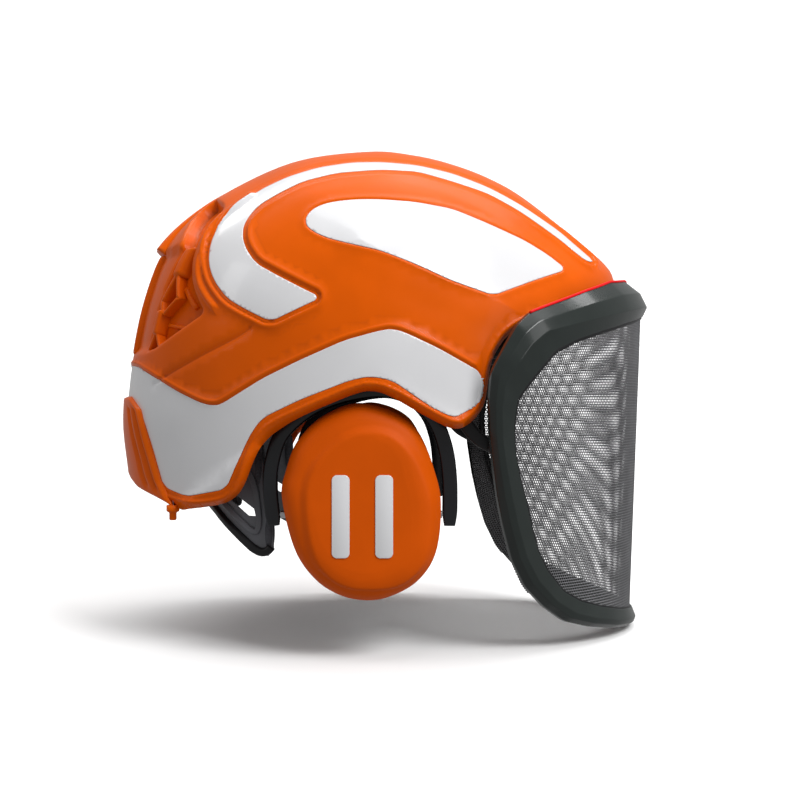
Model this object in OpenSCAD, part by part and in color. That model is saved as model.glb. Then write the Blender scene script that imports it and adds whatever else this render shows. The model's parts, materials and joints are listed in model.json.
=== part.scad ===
// Forestry hard hat with a swing-up mesh visor and built-in ear muffs.
// Origin: centre of the head opening, level with the lower edge of the shell over the ears.
// +X is the front, +Y the wearer's left, +Z up.

/* [Shell] */
// Half width of the shell at the ears
shell_half_w = 115; // [113:0.5:116]
// Wall thickness of the outer shell
shell_t = 3; // [2.5:0.5:3.5]
// Thickness of the reflective decals
decal_t = 0.5; // [0.3:0.1:0.8]
// Thickness of the impact liner
liner_t = 12; // [8:1:16]

/* [Headband] */
// Half length of the head opening
band_a = 97; // [94:1:98]
// Half width of the head opening
band_b = 79; // [77:0.5:79.5]
// Height of the headband
band_h = 26; // [20:1:28]

/* [Visor] */
// Half width of the visor at the temples
visor_half_w = 116; // [115:0.5:118]
// Depth of the visor frame towards the face
frame_t = 3.5; // [3:0.5:4]
// Radius of each visor pivot pin
visor_pin_r = 3; // [2.5:0.5:3.5]

/* [Ear muffs] */
// Distance from the middle plane to the outer face of an ear cup
cup_face_y = 111.4; // [110:0.2:113]
// Inner face of an ear cushion
cushion_y = 74; // [72:1:76]
// Height at which a cup tilts on its yoke
cup_pivot_z = -60; // [-62:1:-56]
// Radius of the cup pivot pins
cup_pin_r = 2; // [1.5:0.25:2.25]

/* [Hidden] */
$fn = 48;

orange = "#c8540a";
black = "#1c1e1f";
white = "#ececec";
grey = "#5c5d62";
soft_black = "#2a2b2e";

touch = 0.05;      // gap between faces that rest on each other
run_gap = 0.05;    // radial clearance of a turning pin
slide_gap = 0.25;  // clearance of a sliding plate
far = 400;         // longer than any part

// Side outline of the dome as X, Z; the points below the rim only steer the walls
dome_side = [
  [141, 70], [135, 81], [115, 98], [85, 121], [64, 132.5], [42, 140.5], [21, 145.3], [-5, 147.6],
  [-47, 142.4], [-82, 128], [-108, 111], [-128, 88], [-140, 57], [-147, 22], [-150, -12],
  [-147, -42], [-143, -75], [-140, -110], [0, -140], [150, -110], [152, -60], [153, -20],
  [152, 15], [148, 45]
];
dome_c = [-5, 20];       // widest point of the dome, X and Z
dome_power = 2.05;       // 2 is an ellipse, more is squarer
nose_rate = 0.000012;    // how fast the dome narrows towards the front
nose_x = -10;            // X at which it starts to narrow
dome_rings = 20;

// Rim of the shell in side view, from the nape to the brow
rim_side = [
  [-190, -50], [-147, -50], [-129, -52], [-110, -57], [-98, -58], [-83, -56], [-75, -53], [-69, -46],
  [-62, -28], [-58, -20], [-50, -14], [-30, -5], [-11, 3], [-2, 5], [7, 2], [26, -9], [40, -16],
  [48, -13], [56, -5], [58, 3], [60, 19], [64, 27], [71, 36], [86, 42], [112, 50], [143, 62], [190, 66]
];

// Decal outlines in side view
upper_panel = [
  [-38, 93], [-36, 99], [-30, 103], [-22, 105], [-11, 106], [1, 106], [20, 105], [40, 102], [59, 95],
  [80, 87], [93, 80], [104, 72], [81, 63], [60, 54], [38, 61], [20, 69], [2, 76], [-14, 80],
  [-26, 84], [-34, 88]
];
crown_stripe = [
  [-28, 52], [-54, 40], [-68, 47], [-78, 53], [-86, 63], [-90, 73], [-90, 85], [-86, 96], [-78, 106],
  [-65, 116], [-51, 123], [-33, 129], [-15, 132], [1, 132], [21, 131], [41, 127], [61, 120], [82, 110],
  [104, 97], [112, 90], [124, 80], [119, 79], [113, 83], [103, 91], [81, 105], [61, 115], [40, 121],
  [21, 126], [1, 126], [-23, 124], [-41, 119], [-54, 112], [-65, 105], [-71, 96], [-72, 89], [-70, 81],
  [-63, 71], [-51, 64], [-38, 57]
];
lower_band = [
  [-160, 22], [-136, 19], [-123, 13], [-105, 4], [-91, -2], [-84, -3], [-80, -2], [-58, 11], [-39, 20],
  [-16, 30], [2, 35], [9, 36], [17, 33], [32, 26], [54, 14], [55, 3], [52, -2], [44, -7], [39, -9],
  [27, -3], [8, 10], [-3, 12], [-13, 10], [-39, 0], [-58, -9], [-63, -15], [-67, -22], [-78, -46],
  [-102, -51], [-116, -47], [-123, -26], [-129, -11], [-139, 1], [-160, 3]
];
bumper_side = [
  [-165, 2], [-133, 1], [-129, -6], [-127, -18], [-123, -30], [-117, -46], [-109, -58], [-165, -60]
];

// Ear cup outline in side view, clockwise from the top
cup_side = [
  [-6.4, -1.7], [18.6, -12.8], [30.9, -40.4], [33, -60.3], [29.9, -80.3], [20.7, -93.6], [6.9, -101.3],
  [-5.4, -103.3], [-18.7, -100.7], [-31.5, -92.6], [-42.2, -77.2], [-48.9, -50.6], [-46.8, -36.3],
  [-40.7, -21], [-26.9, -7.7]
];
cup_c = [-8, -52.5];
cup_base_y = 94;
// Middle line of the yoke from its rear pivot over the cup to its front pivot
yoke_line = [
  [-54, -66], [-56, -48], [-55, -32], [-48.5, -16], [-30, -2], [-3, 5], [16, 2], [29, -9], [35.5, -24],
  [38, -42], [38, -66]
];
yoke_w = 8;
yoke_y = [88.5, 91.7];

ear_hinge = [100, 40];     // distance from the middle plane and height of the swing axis
ear_hinge_r = 2.5;
stem_x = [-10, 6];
visor_pivot = [20, 22];
visor_arm_y = [90.2, 93.4];

function at(list, i) = list[(i + len(list)) % len(list)];
function blend(p0, p1, p2, p3, t) = 0.5 * (2 * p1 + (p2 - p0) * t
  + (2 * p0 - 5 * p1 + 4 * p2 - p3) * t * t + (3 * p1 - p0 - 3 * p2 + p3) * t * t * t);
// Smooth closed curve through the points, n steps to each
function closed_curve(pts, n) = [
  for (i = [0:len(pts) - 1], k = [0:n - 1])
    blend(at(pts, i - 1), pts[i], at(pts, i + 1), at(pts, i + 2), k / n)
];
// Smooth open curve through the points
function open_curve(pts, n) = let (m = len(pts) - 1) concat([
  for (i = [0:m - 1], k = [0:n - 1])
    blend(pts[max(i - 1, 0)], pts[i], pts[i + 1], pts[min(i + 2, m)], k / n)
], [pts[m]]);
function flipped(list) = [for (i = [len(list) - 1:-1:0]) list[i]];
function unit(v) = v / norm(v);
function left_of(v) = [-v[1], v[0]];
function line_normal(pts, i) = unit(left_of(pts[min(i + 1, len(pts) - 1)] - pts[max(i - 1, 0)]));
// Closed outline of a strip of width w along an open line
function strip(pts, w) = concat(
  [for (i = [0:len(pts) - 1]) pts[i] + line_normal(pts, i) * w / 2],
  flipped([for (i = [0:len(pts) - 1]) pts[i] - line_normal(pts, i) * w / 2])
);
// The same outline drawn in by d towards its centre
function inset(pts, c, d) = [for (p = pts) c + (p - c) * (1 - d / norm(p - c))];

// Faces of a net of rings of m points; each ring joins the next
function net_faces(first, rings, m) = [
  for (j = [0:rings - 2], i = [0:m - 1])
    let (a = first + j * m + i, b = first + j * m + (i + 1) % m)
    each [[a, b, b + m], [a, b + m, a + m]]
];

// Closed body from a start point, a stack of rings and an end point
module poled(start, rings, finish) {
  m = len(rings[0]);
  n = len(rings);
  last = 1 + n * m;
  points = concat([start], [for (r = rings) each r], [finish]);
  fan_a = [for (i = [0:m - 1]) [0, 1 + (i + 1) % m, 1 + i]];
  fan_b = [for (i = [0:m - 1]) [last, last - m + i, last - m + (i + 1) % m]];
  polyhedron(points, concat(fan_a, net_faces(1, n, m), fan_b), convexity = 8);
}

// Closed ring-shaped body: the last ring joins the first again
module looped(rings) {
  m = len(rings[0]);
  n = len(rings);
  seam = (n - 1) * m;
  closing = [
    for (i = [0:m - 1])
      let (a = seam + i, b = seam + (i + 1) % m)
      each [[a, b, (i + 1) % m], [a, (i + 1) % m, i]]
  ];
  polyhedron([for (r = rings) each r], concat(net_faces(0, n, m), closing), convexity = 8);
}

// Body from a stack of rings with a flat end at each side
module capped(rings) {
  m = len(rings[0]);
  n = len(rings);
  points = [for (r = rings) each r];
  ends = [[for (i = [m - 1:-1:0]) i], [for (i = [0:m - 1]) (n - 1) * m + i]];
  polyhedron(points, concat(net_faces(0, n, m), ends), convexity = 8);
}

// Extrude a side-view outline (X, Z) between two distances from the middle plane, on the right side
module side_plate(outline, y0, y1) {
  translate([0, -y0, 0]) rotate([90, 0, 0]) linear_extrude(height = y1 - y0) polygon(outline);
}
module right_or_left(side) {
  if (side == "left") mirror([0, 1, 0]) children();
  else children();
}

// ---- Dome surface ----
dome_curve = closed_curve(dome_side, 3);
function nose(x) = 1 - nose_rate * pow(max(0, x - nose_x), 2);
function dome_at(s, u, off) = let (
    d = s - dome_c,
    q = dome_c + d * (1 + off / norm(d)) * pow(sin(u), 2 / dome_power),
    y = -(shell_half_w + off) * nose(q[0]) * pow(abs(cos(u)), 2 / dome_power) * sign(cos(u))
  ) [q[0], y, q[1]];
module dome(off) {
  rings = [for (j = [1:dome_rings - 1]) [for (s = dome_curve) dome_at(s, 180 * j / dome_rings, off)]];
  pole = shell_half_w + off;
  poled([dome_c[0], -pole, dome_c[1]], rings, [dome_c[0], pole, dome_c[1]]);
}
// Layer of the dome between two offsets from its outer surface
module dome_layer(low, high) {
  difference() {
    dome(high);
    dome(low);
  }
}
// Layer of the dome inside a side-view outline, on the right side
module dome_patch(outline, low, high) {
  resize([0, 0, 0]) intersection() {
    dome_layer(low, high);
    side_plate(outline, 0, far);
  }
}

// ---- Shell and trim ----
module outer_shell() {
  below = concat(rim_side, [[190, -far], [-190, -far]]);
  color(orange) resize([0, 0, 0]) difference() {
    dome(0);
    dome(-shell_t);
    side_plate(below, -far / 2, far / 2);
  }
}
module rear_bumper() {
  color(orange) resize([0, 0, 0]) intersection() {
    dome_layer(decal_t + 2 * touch, 5);
    side_plate(bumper_side, -far / 2, far / 2);
  }
}
module crown_spine() {
  spine = [
    [-12, 130], [-12, 160], [-100, 160], [-160, 110],
    [-160, 90], [-128, 88], [-100, 100], [-60, 120]
  ];
  color(orange) resize([0, 0, 0]) intersection() {
    dome_layer(touch, 2.4);
    side_plate(spine, -26, 26);
  }
}
module rear_louvres() {
  blade_w = 7;
  blade_pitch = 17;
  color(orange) resize([0, 0, 0]) intersection() {
    dome_layer(touch, 2.2);
    union() {
      for (i = [0:2]) {
        z = 70 - i * blade_pitch;
        side_plate([[-165, z + 8], [-104 - 4 * i, z], [-104 - 4 * i, z - blade_w], [-165, z + 8 - blade_w]],
          -far / 2, far / 2);
      }
    }
  }
}
peg = [-110, 76];
peg_r = 2;
peg_top_z = -60;
peg_length = 4.5;
module cape_pegs() {
  color(orange) for (s = [-1, 1]) translate([peg[0], s * peg[1], 0]) {
    translate([0, 0, peg_top_z - peg_length]) cylinder(r = peg_r, h = peg_length + touch);
    translate([0, 0, peg_top_z]) cylinder(r = peg_r + 1.5, h = 3.5);
  }
}
module upper_panel(side) {
  color(white) right_or_left(side) dome_patch(upper_panel, touch, decal_t);
}
module crown_stripe(side) {
  color(white) right_or_left(side) dome_patch(crown_stripe, touch, decal_t);
}
module lower_band(side) {
  color(white) right_or_left(side) dome_patch(lower_band, touch, decal_t);
}
module impact_liner() {
  low = -shell_t - liner_t;
  zone = [[-118, 50], [108, 62], [108, 160], [-118, 160]];
  color(soft_black) resize([0, 0, 0]) intersection() {
    dome_layer(low, -shell_t - touch);
    side_plate(zone, -far / 2, far / 2);
  }
}

// ---- Head harness ----
band_z = 24;        // lower edge of the headband
band_t = 1.8;
band_power = 2.2;
band_end_x = -50;
// Plan line of the headband: round in front, straight along the temples
function band_arc(a, b, t) = [
  a * pow(abs(cos(t)), 2 / band_power),
  b * pow(abs(sin(t)), 2 / band_power) * sign(t)
];
function band_line(inward) = concat(
  [[band_end_x, -band_b + inward]],
  [for (t = [-90:6:90]) band_arc(band_a - inward, band_b - inward, t == 0 ? 0.001 : t)],
  [[band_end_x, band_b - inward]]
);
tail_y = [81, 82.6];
module band_guide(s) {
  depth = tail_y[1] + slide_gap + 1.6 - band_b - touch;
  slot_h = 11;
  translate([band_end_x + 1, s * band_b, band_z + 11]) difference() {
    translate([0, s < 0 ? -depth - touch : touch, -8.5]) cube([13, depth, 17]);
    translate([-1, s < 0 ? band_b - tail_y[1] - slide_gap : tail_y[0] - slide_gap - band_b, -slot_h / 2])
      cube([15, tail_y[1] - tail_y[0] + 2 * slide_gap, slot_h]);
  }
}
module headband() {
  color(black) union() {
    translate([0, 0, band_z]) linear_extrude(height = band_h) polygon(strip(band_line(band_t / 2), band_t));
    for (s = [-1, 1]) band_guide(s);
  }
}
module sweatband() {
  inward = band_t + touch;
  thick = 4.5;
  front = [for (t = [-66:6:66]) band_arc(band_a - inward - thick / 2, band_b - inward - thick / 2,
    t == 0 ? 0.001 : t)];
  color(soft_black) translate([0, 0, band_z - 1.5]) linear_extrude(height = band_h + 2.4)
    polygon(strip(front, thick));
}
strap_top_z = 116;
strap_foot_z = band_z + 22;
strap_angles = [42, 138];
function strap_mid(az, t) = [
  84 * cos(az) * sin(t), 74 * sin(az) * sin(t),
  strap_foot_z + (strap_top_z - strap_foot_z) * pow(max(0, cos(t)), 0.8)
];
module strap(az) {
  width = 20;
  thick = 1.4;
  across = [-sin(az), cos(az), 0];
  rings = [for (t = [-84:7:84]) let (
      c = strap_mid(az, t),
      along = strap_mid(az, t + 1) - strap_mid(az, t - 1),
      up = unit(cross(along, across))
    ) [
      c - across * width / 2 - up * thick / 2, c + across * width / 2 - up * thick / 2,
      c + across * width / 2 + up * thick / 2, c - across * width / 2 + up * thick / 2
    ]];
  capped(flipped(rings));
}
module crown_straps() {
  color(grey) resize([0, 0, 0]) union() {
    for (az = strap_angles) strap(az);
  }
}
// Hangers that carry the headband inside the shell
hanger_angles = [-38, 38, -142, 142];
hanger_z = band_z + band_h + 1;
hanger_h = 5.8;
module strap_hangers() {
  color(black) for (az = hanger_angles) {
    base = [cos(az) * 86, sin(az) * 82, hanger_z];
    translate(base) rotate([0, 0, az])
      translate([abs(az) > 90 ? -6 : 2, -9, 0]) cube([13, 18, hanger_h]);
  }
}
module crown_pad() {
  color(soft_black) translate([0, 0, strap_top_z - 11.2]) rotate_extrude() {
    polygon([[0, 0], [22, 0], [27, 1.5], [29, 3.5], [27, 5.5], [22, 7], [0, 7]]);
  }
}

// ---- Neck cradle and size adjuster ----
cradle_a = 51;
cradle_mid_x = -49;
function cradle_line(inward) = concat(
  [[-34, -tail_y[1] + inward]],
  [for (t = [-90:6:90]) [
    cradle_mid_x - (cradle_a - inward) * pow(abs(cos(t)), 0.85),
    (tail_y[1] - inward) * pow(abs(sin(t)), 0.85) * sign(t)
  ]],
  [[-34, tail_y[1] - inward]]
);
cradle_side = [
  [-34, 40], [-34, 30], [-59, 30], [-62, -30], [-57, -48], [-55, -80], [-58, -83], [-64, -83], [-92, -60],
  [-104, -58], [-104, -26], [-86, -24], [-76, -8], [-70, 40]
];
cradle_slot = [[-78, -50], [-66, -58], [-65, -62], [-69, -62], [-81, -53], [-81, -50]];
module neck_cradle() {
  thick = tail_y[1] - tail_y[0];
  color(grey) difference() {
    intersection() {
      translate([0, 0, -90]) linear_extrude(height = 135) polygon(strip(cradle_line(thick / 2), thick));
      side_plate(cradle_side, -far / 2, far / 2);
    }
    side_plate(cradle_slot, -far / 2, far / 2);
  }
}
module neck_pad() {
  gap = tail_y[1] - tail_y[0] + touch;
  thick = 5;
  line = [for (p = cradle_line(gap + thick / 2)) if (p[0] < cradle_mid_x - 4) p];
  zone = [[-48, -50], [-50, -86], [-60, -86], [-92, -62], [-104, -59], [-104, -38], [-72, -40]];
  color(grey) intersection() {
    translate([0, 0, -90]) linear_extrude(height = 60) polygon(strip(line, thick));
    side_plate(zone, -far / 2, far / 2);
  }
}
knob_at = [-112.4, -42];
knob_r = 14;
shaft_r = 3;
module adjuster_housing() {
  back = cradle_mid_x - cradle_a - touch;
  color(black) difference() {
    translate([knob_at[0] + 0.4, -29, knob_at[1] - 12]) cube([back - knob_at[0] - 0.4, 58, 24]);
    translate([knob_at[0] - 1, 0, knob_at[1]]) rotate([0, 90, 0]) cylinder(r = shaft_r + run_gap, h = 11);
  }
}
module adjuster_knob() {
  grips = 12;
  color(soft_black) union() {
    translate([knob_at[0] - 10, 0, knob_at[1]]) rotate([0, 90, 0]) difference() {
      cylinder(r = knob_r, h = 10);
      for (i = [0:grips - 1]) rotate([0, 0, i * 360 / grips]) translate([knob_r + 0.6, 0, -1])
        cylinder(r = 1.8, h = 12, $fn = 24);
    }
    translate([knob_at[0] - 1, 0, knob_at[1]]) rotate([0, 90, 0]) cylinder(r = shaft_r, h = 9);
  }
}

// ---- Visor ----
visor_x0 = 50;
visor_lean = 0.035;
function visor_front(z) = 154.5 + (z + 37) * visor_lean;
function visor_w(z) = visor_half_w - 22 * min(1, max(0, (20 - z) / 133));
function visor_at(a, z) = [
  visor_x0 + (visor_front(z) - visor_x0) * pow(max(0, cos(a)), 1.333),
  -visor_w(z) * pow(abs(sin(a)), 1.111) * sign(a), z
];
function visor_normal(a, z) = let (t = visor_at(a + 1.5, z) - visor_at(a - 1.5, z)) unit([-t[1], t[0], 0]);
function visor_off(a, z, off) = visor_at(a, z) + off * visor_normal(a, z);
// Each station: outer edge a, z; inner edge a, z; how far the outer edge lies behind; place of the ridge
frame_stations = [
  [0, 70, 0, 50.5, 11, 0.72], [17, 69, 16, 48, 10, 0.72],
  [33, 65.5, 30, 43, 8, 0.7], [46, 58.5, 42, 37.5, 6, 0.66],
  [57, 51.5, 52, 32, 4.5, 0.6], [66, 45.5, 60, 26, 3.5, 0.5], [72.5, 38.5, 67, 16, 2.5, 0.45],
  [78, 26, 72, 5, 2, 0.45], [81, 15, 73, -5, 2, 0.45],
  [82, 0, 73, -15, 2, 0.45], [81.5, -16, 72.5, -26, 2, 0.45],
  [80, -32, 70.5, -41, 2, 0.45], [78, -50, 68, -54, 2, 0.45], [75.5, -66, 66, -67, 2, 0.45],
  [72, -84, 63.5, -80, 2, 0.45], [67, -99, 60, -91, 2, 0.45], [60, -111, 54, -103, 2, 0.45],
  [52.5, -120, 47, -110, 2, 0.45], [43, -125, 38, -115, 2, 0.45], [30, -129.5, 26, -119.5, 2, 0.45],
  [15, -132.5, 13, -122.5, 2, 0.45], [0, -134, 0, -123.5, 2, 0.45]
];
half_loop = open_curve(frame_stations, 2);
function mirrored(s) = [-s[0], s[1], -s[2], s[3], s[4], s[5]];
frame_loop = concat(half_loop, [for (i = [len(half_loop) - 2:-1:1]) mirrored(half_loop[i])]);
function between(s, f) = [s[0] + (s[2] - s[0]) * f, s[1] + (s[3] - s[1]) * f];
module visor_frame() {
  ridge = 2.4;
  edges = [for (k = [0:6]) [for (s = frame_loop) let (
      r1 = between(s, s[5] * 0.45),
      r2 = between(s, s[5]),
      o = [s[0], s[1]],
      i = [s[2], s[3]]
    )
    k == 0 ? visor_off(o[0], o[1], -s[4] - frame_t)
    : k == 1 ? visor_off(o[0], o[1], -s[4])
    : k == 2 ? visor_off(r1[0], r1[1], ridge - s[4] * 0.4)
    : k == 3 ? visor_off(r2[0], r2[1], ridge)
    : k == 4 ? visor_off(i[0], i[1], 0)
    : k == 5 ? visor_off(i[0], i[1], -frame_t * 0.6)
    : visor_off(r2[0], r2[1], -frame_t - s[4] * 0.4)
  ]];
  color(black) resize([0, 0, 0]) looped(flipped(edges));
}
// Upper and lower edge of the window by angle
top_edge = flipped([for (s = frame_stations) if (s[3] > -6) [-s[2], s[3]]]);
low_edge = [for (s = frame_stations) if (s[3] < -14) [s[2], s[3]]];
function top_z(a) = lookup(-abs(a), top_edge);
function low_z(a) = lookup(abs(a), flipped(low_edge));
module visor_mesh() {
  sheet_t = 0.8;
  behind = 1;
  side_a = 72;
  cols = 36;
  rows = 6;
  grid_a = [for (i = [0:cols]) -side_a + 2 * side_a * i / cols];
  function layer(off) = [for (a = grid_a) [for (k = [0:rows])
    visor_off(a, low_z(a) + 0.8 + (top_z(a) - low_z(a) - 1.6) * k / rows, off)]];
  front = layer(-behind);
  back = layer(-behind - sheet_t);
  rings = [for (i = [0:cols]) concat(front[i], flipped(back[i]))];
  color(grey) resize([0, 0, 0]) capped(flipped(rings));
}
module visor_retainer() {
  rings = [for (k = [0:3]) [for (s = frame_loop) let (
      f_out = [-0.02, 0.02, 0.02, -0.02][k],
      i = between(s, k == 0 || k == 3 ? 0.9 : 1.18)
    ) visor_off(i[0], i[1], (k < 2 ? -3.6 : -5.2) - s[4] * 0.1 + f_out)]];
  color(soft_black) resize([0, 0, 0]) looped(flipped(rings));
}
module visor_seal() {
  size = 2.6;
  top = [for (s = frame_loop) if (s[1] > 40) s];
  count = len(top);
  half = (count + 1) / 2;
  ordered = concat([for (i = [half:count - 1]) top[i]], [for (i = [0:half - 1]) top[i]]);
  rings = [for (s = ordered) let (p = visor_off(s[0], s[1], -s[4] - 0.3)) [
    p + [0, 0, touch], p + [0, 0, touch] + size * visor_normal(s[0], s[1]) * 0.7,
    p + [0, 0, size] + size * visor_normal(s[0], s[1]) * 0.2,
    p + [0, 0, size * 0.8] - size * visor_normal(s[0], s[1]) * 0.7
  ]];
  color("#c01820") resize([0, 0, 0]) capped(flipped(rings));
}
plate_y = 107.4;    // outer face of a hinge plate, just inside the shell
module visor_hinge_plate(side) {
  color(black) right_or_left(side) translate([visor_pivot[0], 0, visor_pivot[1]]) rotate([90, 0, 0]) {
    translate([0, 0, visor_arm_y[1] + 0.4]) cylinder(r = 7.5, h = plate_y - visor_arm_y[1] - 0.4);
    translate([0, 0, visor_arm_y[0] - 0.3]) difference() {
      cylinder(r = visor_pin_r, h = 5);
      translate([0, 0, -1]) cylinder(r = 1.3, h = 5);
    }
  }
}
module visor_hinge_screws() {
  color("silver") for (s = [-1, 1])
  translate([visor_pivot[0], 0, visor_pivot[1]]) rotate([s < 0 ? 90 : -90, 0, 0]) {
    translate([0, 0, visor_arm_y[0] - 2.4]) cylinder(r = 5.5, h = 2.1);
    translate([0, 0, visor_arm_y[0] - 0.5]) cylinder(r = 1.25, h = 3.5);
  }
}
arm_elbow = [46, -12];
arm_end = [62, -25];
arm_boss_h = 12;   // boss that fills the space between an arm and the frame
module visor_arm(side) {
  inner_y = visor_arm_y[0];
  thick = visor_arm_y[1] - inner_y;
  path = [visor_pivot, [34, 4], arm_elbow, [53, -20], arm_end];
  color(black) right_or_left(side) difference() {
    union() {
      side_plate(strip(path, 9), inner_y, visor_arm_y[1]);
      translate([visor_pivot[0], -inner_y, visor_pivot[1]]) rotate([90, 0, 0]) cylinder(r = 8, h = thick);
      translate([arm_end[0], -inner_y, arm_end[1]]) rotate([90, 0, 0]) cylinder(r = 4.5, h = arm_boss_h);
    }
    translate([visor_pivot[0], 1 - inner_y, visor_pivot[1]]) rotate([90, 0, 0])
      cylinder(r = visor_pin_r + run_gap, h = thick + 2);
  }
}

// ---- Ear muffs ----
knuckle_x = [-8, 4];
lug_r = 5;
module lug(x0, x1, y_to, hole_r) {
  // Eye round the swing axis with a web that reaches to y_to
  difference() {
    union() {
      translate([x0, -ear_hinge[0], ear_hinge[1]]) rotate([0, 90, 0]) cylinder(r = lug_r, h = x1 - x0);
      translate([x0, min(-ear_hinge[0], -y_to), ear_hinge[1] - lug_r])
        cube([x1 - x0, abs(y_to - ear_hinge[0]), 2 * lug_r]);
    }
    translate([x0 - 1, -ear_hinge[0], ear_hinge[1]]) rotate([0, 90, 0])
      cylinder(r = hole_r, h = x1 - x0 + 2);
  }
}
module ear_bracket(side) {
  color(black) right_or_left(side) union() {
    lug(knuckle_x[0] - 5.4, knuckle_x[0] - 0.4, 107, ear_hinge_r);
    lug(knuckle_x[1] + 0.4, knuckle_x[1] + 5.4, 107, ear_hinge_r);
    translate([knuckle_x[0] - 5.4, -108.4, ear_hinge[1] - lug_r - 3]) cube([22.8, 2.4, 2 * lug_r + 6]);
  }
}
module ear_hinge_pins() {
  color("silver") for (s = [-1, 1]) translate([knuckle_x[0] - 5.4, s * ear_hinge[0], ear_hinge[1]])
    rotate([0, 90, 0]) cylinder(r = ear_hinge_r, h = 22.8);
}
sleeve_z = [9, 29];
module ear_arm(side) {
  wall = 2.4;
  y_in = yoke_y[0] - slide_gap - wall;
  y_out = yoke_y[1] + slide_gap + wall;
  color(black) right_or_left(side) union() {
    difference() {
      translate([stem_x[0] - slide_gap - wall, -y_out, sleeve_z[0]])
        cube([stem_x[1] - stem_x[0] + 2 * (slide_gap + wall), y_out - y_in, sleeve_z[1] - sleeve_z[0]]);
      translate([stem_x[0] - slide_gap, -yoke_y[1] - slide_gap, sleeve_z[0] - 1])
        cube([stem_x[1] - stem_x[0] + 2 * slide_gap, yoke_y[1] - yoke_y[0] + 2 * slide_gap, 30]);
    }
    difference() {
      union() {
        translate([knuckle_x[0], -ear_hinge[0], ear_hinge[1]]) rotate([0, 90, 0])
          cylinder(r = lug_r - 0.3, h = knuckle_x[1] - knuckle_x[0]);
        translate([knuckle_x[0], -y_out - 3.5, sleeve_z[0] + 6])
          cube([knuckle_x[1] - knuckle_x[0], 4, ear_hinge[1] - sleeve_z[0] - 6]);
      }
      translate([knuckle_x[0] - 1, -ear_hinge[0], ear_hinge[1]]) rotate([0, 90, 0])
        cylinder(r = ear_hinge_r + run_gap, h = 14);
    }
  }
}
module yoke(side) {
  curve = open_curve(yoke_line, 4);
  y0 = yoke_y[0];
  y1 = yoke_y[1];
  bore_x = yoke_line[0][0] - 8;
  color(black) right_or_left(side) difference() {
    union() {
      side_plate(strip(curve, yoke_w), y0, y1);
      translate([stem_x[0], -y1, 2]) cube([stem_x[1] - stem_x[0], y1 - y0, 31]);
    }
    translate([bore_x, -(y0 + y1) / 2, cup_pivot_z]) rotate([0, 90, 0])
      cylinder(r = cup_pin_r / 2, h = far / 3);
  }
}
// The pivot pins have a thin stub in the yoke and a thicker end in the cup
module yoke_pins(side) {
  y = -(yoke_y[0] + yoke_y[1]) / 2;
  rear = [-50.5, -43.6];
  front = [34, 27.2];
  color("silver") right_or_left(side) for (p = [rear, front]) {
    dir = sign(p[1] - p[0]);
    translate([p[0], y, cup_pivot_z]) rotate([0, dir * 90, 0]) {
      cylinder(r = cup_pin_r, h = abs(p[1] - p[0]));
      translate([0, 0, -4]) cylinder(r = cup_pin_r / 2, h = 4.5);
    }
  }
}
cup_curve = closed_curve(cup_side, 3);
function cup_inset(d) = inset(cup_curve, cup_c, d);
function cup_ring(d, y) = [for (p = cup_inset(d)) [p[0], -y, p[1]]];
module cup_housing(side) {
  back_y = cup_base_y - 0.4;
  front_y = 87.3;
  pin_y = -(yoke_y[0] + yoke_y[1]) / 2;
  color(black) right_or_left(side) difference() {
    union() {
      side_plate(cup_inset(3.4), front_y, back_y);
    }
    side_plate(cup_inset(9.5), front_y - 1, back_y - 1.6);
    for (x = [[-50.2, 7], [26.8, 8]]) translate([x[0], pin_y, cup_pivot_z]) rotate([0, 90, 0])
      cylinder(r = cup_pin_r + run_gap, h = x[1]);
  }
}
// Cap profile: inset from the outline and distance from the middle plane
cap_profile = [[0, 94], [0, 100.5], [1.2, 104.6], [3.6, 107.8], [7, 109.8], [11, 110.9], [15, 111.3]];
module cup_cap(side) {
  wall = 2.2;
  shift = cup_face_y - 111.4;
  outside = [for (p = cap_profile) cup_ring(p[0], p[1] + shift)];
  inside = [for (p = cap_profile) cup_ring(p[0] + wall, min(p[1], cup_face_y - wall - 0.4) + shift)];
  inside_ring = [for (i = [len(inside) - 2:-1:0]) inside[i]];
  color(orange) right_or_left(side) resize([0, 0, 0]) poled([cup_c[0], -cup_face_y + wall, cup_c[1]],
    concat(inside_ring, outside), [cup_c[0], -cup_face_y, cup_c[1]]);
}
module ear_cushion(side) {
  outer_y = 87;
  mid = 9.5;
  half_w = 8.5;
  half_d = (outer_y - cushion_y) / 2;
  steps = 12;
  rings = [for (j = [0:steps - 1]) let (t = 360 * j / steps)
    cup_ring(4 + mid - half_w * sign(cos(t)) * pow(abs(cos(t)), 0.7),
      cushion_y + half_d + half_d * sign(sin(t)) * pow(abs(sin(t)), 0.7))];
  color(soft_black) right_or_left(side) resize([0, 0, 0]) looped(rings);
}
module cup_foam(side) {
  color(grey) right_or_left(side) side_plate(cup_inset(10.2), 89, cup_base_y - 2.2);
}
// Two plain upright reflective bars on each ear cup
reflector_x = [-18, 4];
reflector_w = 9;
reflector_z = [-80, -38];
module reflectors(side) {
  base = cup_face_y + touch;
  half = reflector_w / 2;
  color(white) right_or_left(side) for (x = reflector_x)
    side_plate([
      [x - half, reflector_z[1]], [x + half, reflector_z[1]],
      [x + half, reflector_z[0]], [x - half, reflector_z[0]]
    ], base, base + 0.5);
}

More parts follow.
